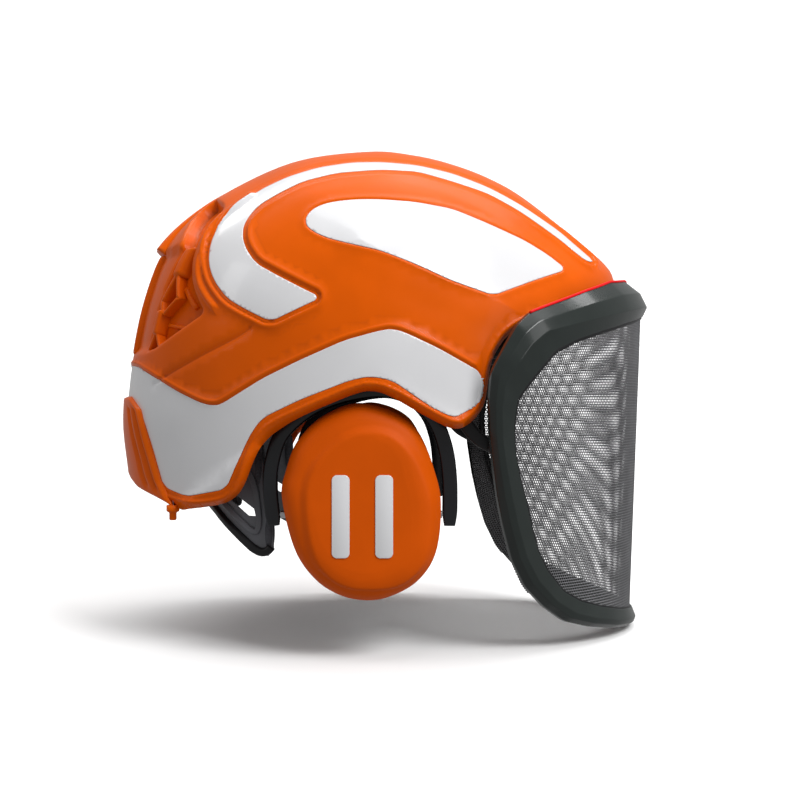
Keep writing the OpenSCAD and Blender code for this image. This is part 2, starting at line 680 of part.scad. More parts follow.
outer_shell();
rear_bumper();
crown_spine();
rear_louvres();
cape_pegs();
upper_panel("right");  // upper_panel_right
upper_panel("left");  // upper_panel_left
crown_stripe("right");  // crown_stripe_right
crown_stripe("left");  // crown_stripe_left
lower_band("right");  // lower_band_right
lower_band("left");  // lower_band_left
impact_liner();
headband();
sweatband();
crown_straps();
strap_hangers();
crown_pad();
neck_cradle();
neck_pad();
adjuster_housing();
adjuster_knob();
visor_hinge_plate("right");  // visor_hinge_plate_right
visor_hinge_plate("left");  // visor_hinge_plate_left
visor_hinge_screws();
visor_arm("right");  // visor_arm_right
visor_arm("left");  // visor_arm_left
visor_frame();
visor_mesh();
visor_retainer();
visor_seal();
ear_bracket("right");  // ear_bracket_right
ear_bracket("left");  // ear_bracket_left
ear_hinge_pins();
ear_arm("right");  // ear_arm_right
ear_arm("left");  // ear_arm_left
yoke("right");  // yoke_right
yoke("left");  // yoke_left
yoke_pins("right");  // yoke_pins_right
yoke_pins("left");  // yoke_pins_left
cup_housing("right");  // cup_housing_right
cup_housing("left");  // cup_housing_left
cup_cap("right");  // cup_cap_right
cup_cap("left");  // cup_cap_left
ear_cushion("right");  // ear_cushion_right
ear_cushion("left");  // ear_cushion_left
cup_foam("right");  // cup_foam_right
cup_foam("left");  // cup_foam_left
reflectors("right");  // reflectors_right
reflectors("left");  // reflectors_left
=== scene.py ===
import json
import math
import bpy
import bmesh
import numpy as np
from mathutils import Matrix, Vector, geometry

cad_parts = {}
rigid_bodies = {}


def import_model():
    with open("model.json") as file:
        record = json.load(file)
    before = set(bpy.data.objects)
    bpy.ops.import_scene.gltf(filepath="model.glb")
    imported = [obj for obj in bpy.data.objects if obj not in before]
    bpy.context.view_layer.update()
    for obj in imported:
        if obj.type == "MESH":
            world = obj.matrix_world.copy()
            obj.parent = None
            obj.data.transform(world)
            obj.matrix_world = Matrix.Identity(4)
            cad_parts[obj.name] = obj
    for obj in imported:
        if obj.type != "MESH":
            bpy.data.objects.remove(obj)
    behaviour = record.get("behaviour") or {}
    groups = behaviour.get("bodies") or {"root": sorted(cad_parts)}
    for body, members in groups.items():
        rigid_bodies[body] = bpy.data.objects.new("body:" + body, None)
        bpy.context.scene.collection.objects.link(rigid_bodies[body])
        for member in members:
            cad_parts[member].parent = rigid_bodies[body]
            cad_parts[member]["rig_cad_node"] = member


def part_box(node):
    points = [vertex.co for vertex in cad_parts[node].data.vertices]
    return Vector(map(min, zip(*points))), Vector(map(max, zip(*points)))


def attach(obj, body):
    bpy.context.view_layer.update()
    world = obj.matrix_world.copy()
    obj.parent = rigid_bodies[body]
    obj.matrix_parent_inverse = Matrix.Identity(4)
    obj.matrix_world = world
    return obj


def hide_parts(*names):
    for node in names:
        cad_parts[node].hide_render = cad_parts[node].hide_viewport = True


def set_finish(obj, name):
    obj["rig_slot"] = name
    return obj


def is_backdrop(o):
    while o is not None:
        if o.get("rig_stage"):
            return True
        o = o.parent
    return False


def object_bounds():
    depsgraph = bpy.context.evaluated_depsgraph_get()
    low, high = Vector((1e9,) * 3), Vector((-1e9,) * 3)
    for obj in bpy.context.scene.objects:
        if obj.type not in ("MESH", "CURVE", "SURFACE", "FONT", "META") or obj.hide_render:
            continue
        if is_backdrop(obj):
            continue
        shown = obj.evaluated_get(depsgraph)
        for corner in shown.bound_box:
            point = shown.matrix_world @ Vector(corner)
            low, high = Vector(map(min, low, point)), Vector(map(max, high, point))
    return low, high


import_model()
cad_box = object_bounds()
MM = 0.001

# ---------------------------------------------------------------- shape data, in millimetres
# Side outline of the dome (X, Z); the points below the rim only steer the walls
DOME_SIDE = [
    (141, 70), (135, 81), (115, 98), (85, 121), (64, 132.5), (42, 140.5), (21, 145.3), (-5, 147.6),
    (-47, 142.4), (-82, 128), (-108, 111), (-128, 88), (-140, 57), (-147, 22), (-150, -12),
    (-147, -42), (-143, -75), (-140, -110), (0, -140), (150, -110), (152, -60), (153, -20),
    (152, 15), (148, 45)]
DOME_C = np.array([-5.0, 20.0])
DOME_W = 115.0
DOME_POWER = 2.05
NOSE_RATE = 0.000012
NOSE_X = -10.0
RIM = [
    (-190, -50), (-147, -50), (-129, -52), (-110, -57), (-98, -58), (-83, -56), (-75, -53), (-69, -46),
    (-62, -28), (-58, -20), (-50, -14), (-30, -5), (-11, 3), (-2, 5), (7, 2), (26, -9), (40, -16),
    (48, -13), (56, -5), (58, 3), (60, 19), (64, 27), (71, 36), (86, 42), (112, 50), (143, 62), (190, 66)]
UPPER_PANEL = [
    (-38, 93), (-36, 99), (-30, 103), (-22, 105), (-11, 106), (1, 106), (20, 105), (40, 102), (59, 95),
    (80, 87), (93, 80), (104, 72), (81, 63), (60, 54), (38, 61), (20, 69), (2, 76), (-14, 80),
    (-26, 84), (-34, 88)]
CROWN_STRIPE = [
    (-28, 52), (-54, 40), (-68, 47), (-78, 53), (-86, 63), (-90, 73), (-90, 85), (-86, 96), (-78, 106),
    (-65, 116), (-51, 123), (-33, 129), (-15, 132), (1, 132), (21, 131), (41, 127), (61, 120), (82, 110),
    (104, 97), (112, 90), (124, 80), (119, 79), (113, 83), (103, 91), (81, 105), (61, 115), (40, 121),
    (21, 126), (1, 126), (-23, 124), (-41, 119), (-54, 112), (-65, 105), (-71, 96), (-72, 89), (-70, 81),
    (-63, 71), (-51, 64), (-38, 57)]
LOWER_BAND = [
    (-175, 23), (-136, 19), (-123, 13), (-105, 4), (-91, -2), (-84, -3), (-80, -2), (-58, 11), (-39, 20),
    (-16, 30), (2, 35), (9, 36), (17, 33), (32, 26), (54, 14), (55, 3), (52, -2), (44, -7), (39, -9),
    (27, -3), (8, 10), (-3, 12), (-13, 10), (-39, 0), (-58, -9), (-63, -15), (-67, -22), (-78, -46),
    (-102, -51), (-116, -47), (-123, -26), (-129, -11), (-139, 1), (-175, 3)]
SHOULDER = [(-9, 82), (12, 71), (38, 60), (62, 51), (80, 43), (100, 40)]
REAR_RIB = [
    (-70, 113), (-77, 107), (-85, 100), (-92, 88.5), (-95.4, 78), (-96, 70), (-94, 61.5), (-89.5, 54),
    (-85, 48.5)]
REAR_FOLD = [(-65, 37), (-73, 32), (-93, 23), (-114, 13), (-122, 9)]
RECESS = [
    (-84, 107), (-91, 98), (-97, 88), (-100, 78), (-100, 69), (-98, 60), (-94, 52), (-90, 46), (-104, 38),
    (-124, 27), (-175, 24), (-175, 135), (-100, 122)]

# ---------------------------------------------------------------- small geometry helpers
def catmull(points, steps, closed):
    p = np.array(points, float)
    n = len(p)
    out = []
    for i in range(n if closed else n - 1):
        if closed:
            a, b, c, d = p[i - 1], p[i], p[(i + 1) % n], p[(i + 2) % n]
        else:
            a, b, c, d = p[max(i - 1, 0)], p[i], p[i + 1], p[min(i + 2, n - 1)]
        for k in range(steps):
            t = k / steps
            out.append(0.5 * (2 * b + (c - a) * t + (2 * a - 5 * b + 4 * c - d) * t * t
                              + (3 * b - a - 3 * c + d) * t ** 3))
    if not closed:
        out.append(p[-1])
    return np.array(out)


def cut_corners(points):
    """A closed outline on which each side keeps only its middle half."""
    p = np.array(points, float)
    q = np.roll(p, -1, 0)
    return np.stack([0.75 * p + 0.25 * q, 0.25 * p + 0.75 * q], 1).reshape(-1, 2)


def fillet(points, cuts=(2.6, 0.9), closed=True):
    """Eases each corner over a short length, so that the long edges stay straight."""
    p = np.array(points, float)
    for cut in cuts:
        out = []
        n = len(p)
        for i in range(n):
            if not closed and i in (0, n - 1):
                out.append(p[i])
                continue
            a, b = p[i - 1] - p[i], p[(i + 1) % n] - p[i]
            la, lb = np.hypot(*a), np.hypot(*b)
            out.append(p[i] + a / la * min(cut, la * 0.3))
            out.append(p[i] + b / lb * min(cut, lb * 0.3))
        p = np.array(out)
    return p


def resample(points, spacing, closed):
    p = np.vstack([points, points[:1]]) if closed else np.array(points, float)
    seg = np.hypot(*np.diff(p, axis=0).T)
    s = np.r_[0, np.cumsum(seg)]
    n = max(4, int(round(s[-1] / spacing)))
    t = np.linspace(0, s[-1], n + 1)
    if closed:
        t = t[:-1]
    return np.c_[np.interp(t, s, p[:, 0]), np.interp(t, s, p[:, 1])]


def line_distance(q, line, closed):
    """Distance from each point of q to a line."""
    p = np.array(line, float)
    a = p
    b = np.roll(p, -1, 0)
    if not closed:
        a, b = p[:-1], p[1:]
    best = np.full(len(q), 1e9)
    for s, e in zip(a, b):
        d = e - s
        t = np.clip(((q - s) @ d) / max(d @ d, 1e-9), 0, 1)
        best = np.minimum(best, np.hypot(*(q - s - t[:, None] * d).T))
    return best


def inside(q, outline):
    p = np.array(outline, float)
    odd = np.zeros(len(q), bool)
    for (x1, z1), (x2, z2) in zip(p, np.roll(p, -1, 0)):
        hit = (z1 > q[:, 1]) != (z2 > q[:, 1])
        if z1 != z2:
            odd ^= hit & (q[:, 0] < (x2 - x1) * (q[:, 1] - z1) / (z2 - z1) + x1)
    return odd


def signed(q, outline):
    d = line_distance(q, outline, True)
    return np.where(inside(q, outline), -d, d)


def smooth(lo, hi, v):
    t = np.clip((v - lo) / (hi - lo), 0, 1)
    return t * t * (3 - 2 * t)


def bump(v, mid, half):
    t = np.clip(1 - ((v - mid) / half) ** 2, 0, 1)
    return t * t


def new_mesh(name, verts, faces, flat=False):
    """A mesh object from points in millimetres."""
    me = bpy.data.meshes.new(name)
    me.from_pydata((np.asarray(verts, float) * MM).tolist(), [], [list(map(int, f)) for f in faces])
    me.validate()
    bm = bmesh.new()
    bm.from_mesh(me)
    bmesh.ops.remove_doubles(bm, verts=bm.verts, dist=0.00002)
    bmesh.ops.recalc_face_normals(bm, faces=bm.faces)
    bm.to_mesh(me)
    bm.free()
    if not flat:
        me.polygons.foreach_set("use_smooth", [True] * len(me.polygons))
    ob = bpy.data.objects.new(name, me)
    bpy.context.scene.collection.objects.link(ob)
    return ob


def strip_faces(rows, cols, wrap_rows=False, wrap_cols=False, start=0):
    faces = []
    for i in range(rows if wrap_rows else rows - 1):
        for j in range(cols if wrap_cols else cols - 1):
            a = start + i * cols + j
            b = start + i * cols + (j + 1) % cols
            c = start + ((i + 1) % rows) * cols + (j + 1) % cols
            d = start + ((i + 1) % rows) * cols + j
            faces.append((a, b, c, d))
    return faces


def end_caps(rows, cols):
    """Faces that close the first and the last ring of a tube."""
    last = (rows - 1) * cols
    return [tuple(range(cols))[::-1], tuple(last + i for i in range(cols))]


def tube_faces(rows, cols):
    return strip_faces(rows, cols, wrap_cols=True) + end_caps(rows, cols)


def longest_side(points, tris):
    corner = points[tris]
    return np.max(np.linalg.norm(corner - np.roll(corner, -1, 1), axis=2), 1)


def mirrored(verts):
    v = np.array(verts, float)
    v[:, 1] *= -1
    return v


def add(name, net, node, slot, body, flat=False):
    """A visible piece that takes the place of a CAD node and rides on a body."""
    ob = new_mesh(name, net[0], net[1], flat)
    if node:
        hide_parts(node)
    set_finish(ob, slot)
    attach(ob, body)
    return ob


def pair(name, net, nodes, slot, bodies):
    """The same piece on both sides of the helmet."""
    made = []
    for side in ("right", "left"):
        v = net[0] if side == "right" else mirrored(net[0])
        f = net[1] if side == "right" else [tuple(reversed(x)) for x in net[1]]
        made.append(add(f"{name}_{side}", (v, f), nodes.format(side), slot, bodies.format(side)))
    return made


# ---------------------------------------------------------------- dome surface
dome_curve = catmull(DOME_SIDE, 14, True)
dome_ang = np.arctan2(dome_curve[:, 1] - DOME_C[1], dome_curve[:, 0] - DOME_C[0])
dome_rad = np.hypot(*(dome_curve - DOME_C).T)
order = np.argsort(dome_ang)
ANG = np.r_[dome_ang[order] - 2 * np.pi, dome_ang[order], dome_ang[order] + 2 * np.pi]
RAD = np.tile(dome_rad[order], 3)


def radius(theta):
    return np.interp(theta, ANG, RAD)


def nose(x):
    return 1 - NOSE_RATE * np.maximum(0, x - NOSE_X) ** 2


def to_map(p):
    """Side view (X, Z) to the flat map of the right half of the dome."""
    d = np.asarray(p, float) - DOME_C
    th = np.arctan2(d[:, 1], d[:, 0])
    r = np.hypot(*d.T)
    rho = np.clip(r / radius(th), 0, 1)
    u = np.arcsin(rho ** (DOME_POWER / 2)) / (np.pi / 2)
    scale = np.where(r > 1e-6, radius(th) * u / np.maximum(r, 1e-6), 1)
    return DOME_C + d * scale[:, None]


def from_map(q):
    """Flat map to points on the right half of the dome."""
    d = np.asarray(q, float) - DOME_C
    th = np.arctan2(d[:, 1], d[:, 0])
    u = np.clip(np.hypot(*d.T) / radius(th), 0, 1) * np.pi / 2
    rho = np.sin(u) ** (2 / DOME_POWER)
    x = DOME_C[0] + rho * radius(th) * np.cos(th)
    z = DOME_C[1] + rho * radius(th) * np.sin(th)
    y = -DOME_W * nose(x) * np.maximum(np.cos(u), 0) ** (2 / DOME_POWER)
    return np.c_[x, y, z]


def map_normals(q):
    e = 0.4
    d = np.asarray(q, float) - DOME_C
    r = np.hypot(*d.T)
    edge = radius(np.arctan2(d[:, 1], d[:, 0]))
    back = np.clip(r, 0, edge - 1.5) / np.maximum(r, 1e-6)
    qi = DOME_C + d * back[:, None]
    px, mx = from_map(qi + [e, 0]), from_map(qi - [e, 0])
    pz, mz = from_map(qi + [0, e]), from_map(qi - [0, e])
    n = np.cross(px - mx, pz - mz)
    n /= np.linalg.norm(n, axis=1)[:, None]
    n[n[:, 1] > 0] *= -1
    on_edge = smooth(edge - 2.5, edge, r)
    n[:, 1] *= 1 - on_edge
    return n / np.linalg.norm(n, axis=1)[:, None]


panel_line = fillet(UPPER_PANEL)
stripe_line = fillet(CROWN_STRIPE)
band_line = fillet(LOWER_BAND)
rim_line = fillet(RIM, (3.5, 1.2), False)
shoulder_line = catmull(SHOULDER, 10, False)
rib_line = catmull(REAR_RIB, 10, False)
fold_line = catmull(REAR_FOLD, 10, False)
recess_line = fillet(RECESS)
SPINE_HALF = 57.0


def spine_half(z):
    """Half width of the middle of the back between the two side recesses, by height."""
    return 30 + (SPINE_HALF - 30) * smooth(116, 82, z)


def deep_share(p):
    """1 where the rear recess pushes the shell wall inwards, falling to 0 round it."""
    reach = np.abs(p[:, 1]) - spine_half(p[:, 2])
    return smooth(4, -3, signed(p[:, [0, 2]], recess_line)) * smooth(-7, 1, reach)


def shell_height(p):
    """How far the outer surface stands off the dome at points p, in millimetres."""
    side = p[:, [0, 2]]
    y = np.abs(p[:, 1])
    d_rim = line_distance(side, rim_line, False)
    h = -2.7 * np.clip(1 - d_rim / 3.1, 0, 1) + 0.75 * bump(d_rim, 4.2, 1.25)
    s = signed(side, band_line)
    h += -0.5 * smooth(0.5, -0.05, s) + 0.9 * bump(s, 2.0, 1.5) * smooth(7, 10, d_rim)
    s = signed(side, stripe_line)
    w = 1 - 0.8 * smooth(92, 112, side[:, 1])
    h += -0.55 * smooth(0.5, -0.05, s) + w * (1.0 * bump(s, 3.6, 1.5) - 0.9 * bump(s, 1.5, 1.2))
    s = signed(side, panel_line)
    h += -0.45 * smooth(0.5, -0.05, s) + 0.35 * bump(s, 1.3, 1.1)
    d = line_distance(side, shoulder_line, False)
    h += 1.5 * np.sqrt(np.clip(1 - d / 16, 0, 1) ** 2 + 0.002)
    d = line_distance(side, rib_line, False)
    h += 1.9 * bump(d, 0, 2.9)
    s = signed(side, recess_line)
    wall = smooth(0, 2.2, y - spine_half(side[:, 1]))
    h += -6.5 * smooth(0.5, -4.0, s) * wall
    sunk = smooth(-100, -110, p[:, 0]) * smooth(85.5, 83.5, p[:, 2]) * smooth(25, 31, p[:, 2])
    h += -2.6 * sunk * (1 - wall)
    d = line_distance(side, fold_line, False)
    h += -0.9 * bump(d, 0, 1.8)
    return h


def offset_points(line, offsets, spacing, closed):
    """Points along a line at each distance from it, where nothing nearer gets in the way."""
    p = resample(line, spacing, closed)
    t = np.roll(p, -1, 0) - np.roll(p, 1, 0)
    if not closed:
        t[0], t[-1] = p[1] - p[0], p[-1] - p[-2]
    n = np.c_[-t[:, 1], t[:, 0]] / np.maximum(np.hypot(*t.T), 1e-9)[:, None]
    out = []
    for o in offsets:
        for sign in ((1, -1) if o else (1,)):
            q = p + n * o * sign
            keep = np.abs(line_distance(q, line, closed) - o) < 0.12
            out.append(q[keep])
    return np.vstack(out)


def above_rim(side):
    return inside(side, list(map(tuple, rim_line)) + [(190, 400), (-190, 400)])


def build_half_shell():
    """Triangulates the right half of the dome with points packed along every edge and crease."""
    fine = 0.95
    rings = [
        offset_points(rim_line, [0, 3.1, 3.65, 4.2, 4.8, 5.4], fine, False),
        offset_points(band_line, [0, 0.5, 1.2, 2.0, 2.8, 3.5], fine, True),
        offset_points(stripe_line, [0, 0.5, 1.5, 2.6, 3.6, 4.6], fine, True),
        offset_points(panel_line, [0, 0.5, 1.3, 2.3], fine, True),
        offset_points(shoulder_line, [0, 0.8], fine, False),
        offset_points(rib_line, [0, 1.0, 2.0, 2.9], fine, False),
        offset_points(fold_line, [0, 0.9, 1.8], fine, False),
        offset_points(recess_line, [0, 1.5, 3.0, 4.5], 1.3, True)]
    side = np.vstack(rings)
    th = np.arctan2(side[:, 1] - DOME_C[1], side[:, 0] - DOME_C[0])
    rho = np.hypot(*(side - DOME_C).T) / radius(th)
    side = side[rho < 0.9995]
    rim_side = side[line_distance(side, rim_line, False) < 0.02]
    side = side[above_rim(side) & (line_distance(side, rim_line, False) > 0.3)]
    spine = []
    for gap in (0, 0.7, 1.5, 2.2, 3.0):
        zs = np.arange(20, 128, 1.0)
        ys = spine_half(zs) + gap
        rho_y = (1 - (ys / DOME_W) ** DOME_POWER) ** (1 / DOME_POWER)
        for z, r in zip(zs, rho_y):
            ths = np.linspace(np.pi * 0.55, np.pi * 1.02, 200)
            zz = DOME_C[1] + r * radius(ths) * np.sin(ths)
            k = int(np.argmin(np.abs(zz - z)))
            spine.append((DOME_C[0] + r * radius(ths[k]) * np.cos(ths[k]), zz[k]))
    spine = np.array(spine)
    spine = spine[inside(spine, recess_line)]
    pts = np.vstack([to_map(side), to_map(spine)])
    rim_map = to_map(rim_side)
    # edge of the map: the middle plane of the helmet
    ths = np.linspace(-np.pi, np.pi, 900)
    mid = DOME_C + np.c_[np.cos(ths), np.sin(ths)] * radius(ths)[:, None]
    keep = above_rim(mid) & (line_distance(mid, rim_line, False) > 0.4)
    mid = resample(mid[keep][np.argsort(np.unwrap(ths[keep] % (2 * np.pi)))], 1.6, False)
    # plain points between the lines
    step = 2.5
    gx, gz = np.meshgrid(np.arange(-260, 270, step), np.arange(-120, 260, step * 0.866))
    gx[1::2] += step / 2
    grid = np.c_[gx.ravel(), gz.ravel()]
    d = grid - DOME_C
    grid = grid[np.hypot(*d.T) < radius(np.arctan2(d[:, 1], d[:, 0])) - 1.4]
    flat = from_map(grid)[:, [0, 2]]
    ok = above_rim(flat) & (line_distance(flat, rim_line, False) > 1.6)
    grid = grid[ok]
    fine_pts = np.vstack([pts, rim_map])
    cell = {}
    for i, q in enumerate(np.floor(fine_pts / 1.5).astype(int)):
        cell.setdefault((q[0], q[1]), []).append(i)
    free = []
    for g in grid:
        cx, cz = int(math.floor(g[0] / 1.5)), int(math.floor(g[1] / 1.5))
        near = [k for a in (-1, 0, 1) for b in (-1, 0, 1) for k in cell.get((cx + a, cz + b), ())]
        if not near or np.min(np.hypot(*(fine_pts[near] - g).T)) > 1.35:
            free.append(g)
    everything = np.vstack([rim_map, mid, pts, np.array(free)])
    # drop points that nearly coincide
    seen, keep_i = set(), []
    for i, q in enumerate(np.round(everything / 0.45).astype(int)):
        key = (q[0], q[1])
        if key not in seen:
            seen.add(key)
            keep_i.append(i)
    everything = everything[keep_i]
    result = geometry.delaunay_2d_cdt([Vector(v) for v in everything], [], [], 0, 1e-5)
    verts = np.array([tuple(v) for v in result[0]])
    tris = np.array(result[2])
    base = from_map(verts)
    mid_of = base[tris].mean(1)[:, [0, 2]]
    tris = tris[above_rim(mid_of) & (longest_side(base, tris) < 9)]
    return verts, base, map_normals(verts), tris


shell_map, shell_base, shell_n, shell_tri = build_half_shell()
shell_h = shell_height(shell_base)


def both_sides(verts, faces):
    n = len(verts)
    left = [tuple(reversed([i + n for i in f])) for f in faces]
    return np.vstack([verts, mirrored(verts)]), [tuple(f) for f in faces] + left


def boundary_edges(tris):
    count = {}
    for t in tris:
        for a, b in ((t[0], t[1]), (t[1], t[2]), (t[2], t[0])):
            key = (min(a, b), max(a, b))
            count[key] = None if key in count else (a, b)
    return [e for e in count.values() if e]


def build_shell():
    outer = shell_base + shell_n * shell_h[:, None]
    side = shell_base[:, [0, 2]]
    # coarse inner wall that shares the rim
    on_rim = np.zeros(len(shell_base), bool)
    for a, b in boundary_edges(shell_tri):
        on_rim[a] = on_rim[b] = True
    pick = np.where(on_rim)[0]
    rest = np.where(~on_rim)[0]
    d = shell_map[rest] / 4.0
    seen, chosen = set(), []
    for i, q in zip(rest, np.round(d).astype(int)):
        if (q[0], q[1]) not in seen:
            seen.add((q[0], q[1]))
            chosen.append(i)
    ids = np.r_[pick, chosen]
    result = geometry.delaunay_2d_cdt([Vector(v) for v in shell_map[ids]], [], [], 0, 1e-6)
    back = [ids[o[0]] for o in result[3]]
    tri = np.array([[back[i] for i in t] for t in result[2]])
    c = shell_base[tri].mean(1)[:, [0, 2]]
    tri = tri[above_rim(c) & (longest_side(shell_base, tri) < 22)]
    y = np.abs(shell_base[:, 1])
    in_h = np.where(on_rim & (y > 0.01), shell_h, -3.4 - 6.0 * deep_share(shell_base))
    in_h = np.where(on_rim & (y <= 0.01) & (line_distance(side, rim_line, False) > 1), -3.4, in_h)
    inner = shell_base + shell_n * in_h[:, None]
    n = len(outer)
    verts = np.vstack([outer, inner])
    faces = [tuple(t) for t in shell_tri] + [tuple(i + n for i in t[::-1]) for t in tri]
    v, f = both_sides(verts, faces)
    return add("shell", (v, f), "outer_shell", "shell_orange", "helmet")


def build_decal(name, outline, nodes, lift=0.42, sink=0.1):
    """A thin film cut to the outline, lying in its shallow seat on the shell."""
    centre = shell_base[shell_tri].mean(1)[:, [0, 2]]
    tris = shell_tri[inside(centre, outline)]
    used = np.unique(tris)
    index = -np.ones(len(shell_base), int)
    index[used] = np.arange(len(used))
    tri = index[tris]
    h = shell_h[used]
    top = shell_base[used] + shell_n[used] * (h + lift)[:, None]
    low = shell_base[used] + shell_n[used] * (h + sink)[:, None]
    n = len(used)
    faces = [tuple(t) for t in tri] + [tuple(i + n for i in t[::-1]) for t in tri]
    for a, b in boundary_edges(tri):
        if abs(shell_base[used[a]][1]) + abs(shell_base[used[b]][1]) > 0.02:
            faces.append((b, a, a + n, b + n))
    return pair(name, (np.vstack([top, low]), faces), nodes, "decal_white", "helmet")


shell = build_shell()
decals = build_decal("panel_film", panel_line, "upper_panel_{}")
decals += build_decal("stripe_film", stripe_line, "crown_stripe_{}")
decals += build_decal("band_film", band_line, "lower_band_{}")

# ---------------------------------------------------------------- sweeps and small bodies
def unit_rows(v):
    return v / np.maximum(np.linalg.norm(v, axis=-1, keepdims=True), 1e-9)


def rounded(w, h, r, steps=4):
    """Outline of a rounded rectangle, centred."""
    pts = []
    for cx, cy, a0 in ((1, 1, 0), (-1, 1, 90), (-1, -1, 180), (1, -1, 270)):
        for k in range(steps + 1):
            a = math.radians(a0 + 90 * k / steps)
            pts.append((cx * (w / 2 - r) + r * math.cos(a), cy * (h / 2 - r) + r * math.sin(a)))
    return np.array(pts)


def sweep_net(path, up, profile, closed=False, scale=None):
    """Points and faces of a profile carried along a path; up is the profile's second axis."""
    p = np.array(path, float)
    t = np.roll(p, -1, 0) - np.roll(p, 1, 0)
    if not closed:
        t[0], t[-1] = p[1] - p[0], p[-1] - p[-2]
    t = unit_rows(t)
    up = np.broadcast_to(np.array(up, float), p.shape)
    side = unit_rows(np.cross(t, up))
    up = np.cross(side, t)
    prof = np.array(profile, float)
    verts = []
    for i in range(len(p)):
        k = 1.0 if scale is None else scale[i]
        verts.append(p[i] + side[i] * prof[:, :1] * k + up[i] * prof[:, 1:] * k)
    m = len(prof)
    faces = strip_faces(len(p), m, wrap_rows=True, wrap_cols=True) if closed else tube_faces(len(p), m)
    return np.vstack(verts), faces


def joined(parts):
    verts, faces, n = [], [], 0
    for v, f in parts:
        verts.append(np.asarray(v, float))
        faces += [tuple(i + n for i in x) for x in f]
        n += len(v)
    return np.vstack(verts), faces


def inset_line(line, d):
    p = np.array(line, float)
    t = unit_rows(np.roll(p, -1, 0) - np.roll(p, 1, 0))
    n = np.c_[-t[:, 1], t[:, 0]]
    area = np.sum(p[:, 0] * np.roll(p[:, 1], -1) - np.roll(p[:, 0], -1) * p[:, 1])
    return p + n * d * (1 if area > 0 else -1)


def plate_net(outline, y0, y1, bevel, steps=2):
    """A side-view outline as a plate from y0 to y1 (distances to the right) with soft edges."""
    rings = []
    for y, edge in ((y0, 1), (y1, -1)):
        for k in range(steps + 1):
            a = math.pi / 2 * k / steps
            inward = bevel * (1 - math.sin(a)) if edge > 0 else bevel * (1 - math.cos(a))
            shift = bevel * (1 - math.cos(a)) if edge > 0 else bevel * math.sin(a)
            yy = y0 + shift if edge > 0 else y1 - bevel + shift
            q = inset_line(outline, inward)
            rings.append(np.c_[q[:, 0], np.full(len(q), -yy), q[:, 1]])
    return np.vstack(rings), tube_faces(len(rings), len(outline))


def lathe_net(profile, centre, axis, steps=48, wobble=None):
    """Revolves (radius, along) points round an axis: 'x', 'y' or 'z'."""
    rows = []
    for r, h in profile:
        a = np.linspace(0, 2 * np.pi, steps, endpoint=False)
        rr = r * (1 + (wobble(a, r) if wobble else 0))
        c, s = rr * np.cos(a), rr * np.sin(a)
        hh = np.full(steps, h)
        rows.append({"x": np.c_[hh, c, s], "y": np.c_[c, hh, s], "z": np.c_[c, s, hh]}[axis])
    return np.vstack(rows) + np.array(centre, float), tube_faces(len(rows), steps)


# ---------------------------------------------------------------- rear of the shell
def rear_x(y, z):
    """X of the dome's rear half at distance y from the middle and height z."""
    xs = np.linspace(-151, -20, 700)
    d = np.c_[xs, np.full_like(xs, z)] - DOME_C
    rho = np.hypot(*d.T) / radius(np.arctan2(d[:, 1], d[:, 0]))
    w = DOME_W * nose(xs) * np.maximum(1 - np.clip(rho, 0, 1) ** DOME_POWER, 0) ** (1 / DOME_POWER)
    ok = rho <= 1
    first = np.argmax(ok)
    return np.interp(abs(y), w[first:], xs[first:])


def rear_point(y, z, off):
    e = 0.6
    x = rear_x(y, z)
    dy = (rear_x(abs(y) + e, z) - rear_x(max(abs(y) - e, 0), z)) / (e + min(abs(y), e))
    dz = (rear_x(y, z + e) - rear_x(y, z - e)) / (2 * e)
    n = np.array([-1, dy * (1 if y > 0 else -1), dz])
    n /= np.linalg.norm(n)
    return np.array([x, y, z]) + n * off


def rear_patch(rows, low, height):
    """A closed body on the rear of the dome, from offset low to the height of each (y, z) point."""
    top = np.array([[rear_point(y, z, h) for (y, z), h in zip(r, hs)] for r, hs in zip(rows, height)])
    bottom = np.array([[rear_point(y, z, low) for y, z in r] for r in rows])
    nr, nc = top.shape[:2]
    v = np.vstack([top.reshape(-1, 3), bottom.reshape(-1, 3)])
    f = strip_faces(nr, nc)
    f += [tuple(i + nr * nc for i in q[::-1]) for q in strip_faces(nr, nc)]
    edge = list(range(nc)) + [i * nc + nc - 1 for i in range(1, nr)]
    edge += [(nr - 1) * nc + j for j in range(nc - 2, -1, -1)] + [i * nc for i in range(nr - 2, 0, -1)]
    k = nr * nc
    for a, b in zip(edge, edge[1:] + edge[:1]):
        f.append((b, a, a + k, b + k))
    return v, f


def edge_round(t, soft):
    """1 inside, falling to 0 at the ends of 0..1."""
    e = np.minimum(t, 1 - t) / soft
    return np.sqrt(np.clip(1 - (1 - np.clip(e, 0, 1)) ** 2, 0, 1))


def rear_beam(line, wide, low, high, soft=0.28):
    """A raised beam along (y, z) points on the back of the dome."""
    p = resample(np.array(line, float), 1.2, False)
    t = unit_rows(np.vstack([p[1:2] - p[:1], p[2:] - p[:-2], p[-1:] - p[-2:-1]]))
    n = np.c_[-t[:, 1], t[:, 0]]
    rows, hs = [], []
    for i in range(len(p)):
        end = float(edge_round((i + 0.3) / (len(p) - 0.4), 0.06))
        k = np.linspace(-0.5, 0.5, 9)
        rows.append([tuple(p[i] + n[i] * wide * x) for x in k])
        foot = low + 0.4
        hs.append([foot + (high - foot) * float(edge_round(x + 0.5, soft)) * end for x in k])
    return rear_patch(rows, low, hs)


def rear_pair(line, wide, low, high, soft=0.28):
    """The same beam to the right and to the left of the middle."""
    return [rear_beam([(s * y, z) for y, z in line][::s], wide, low, high, soft) for s in (-1, 1)]


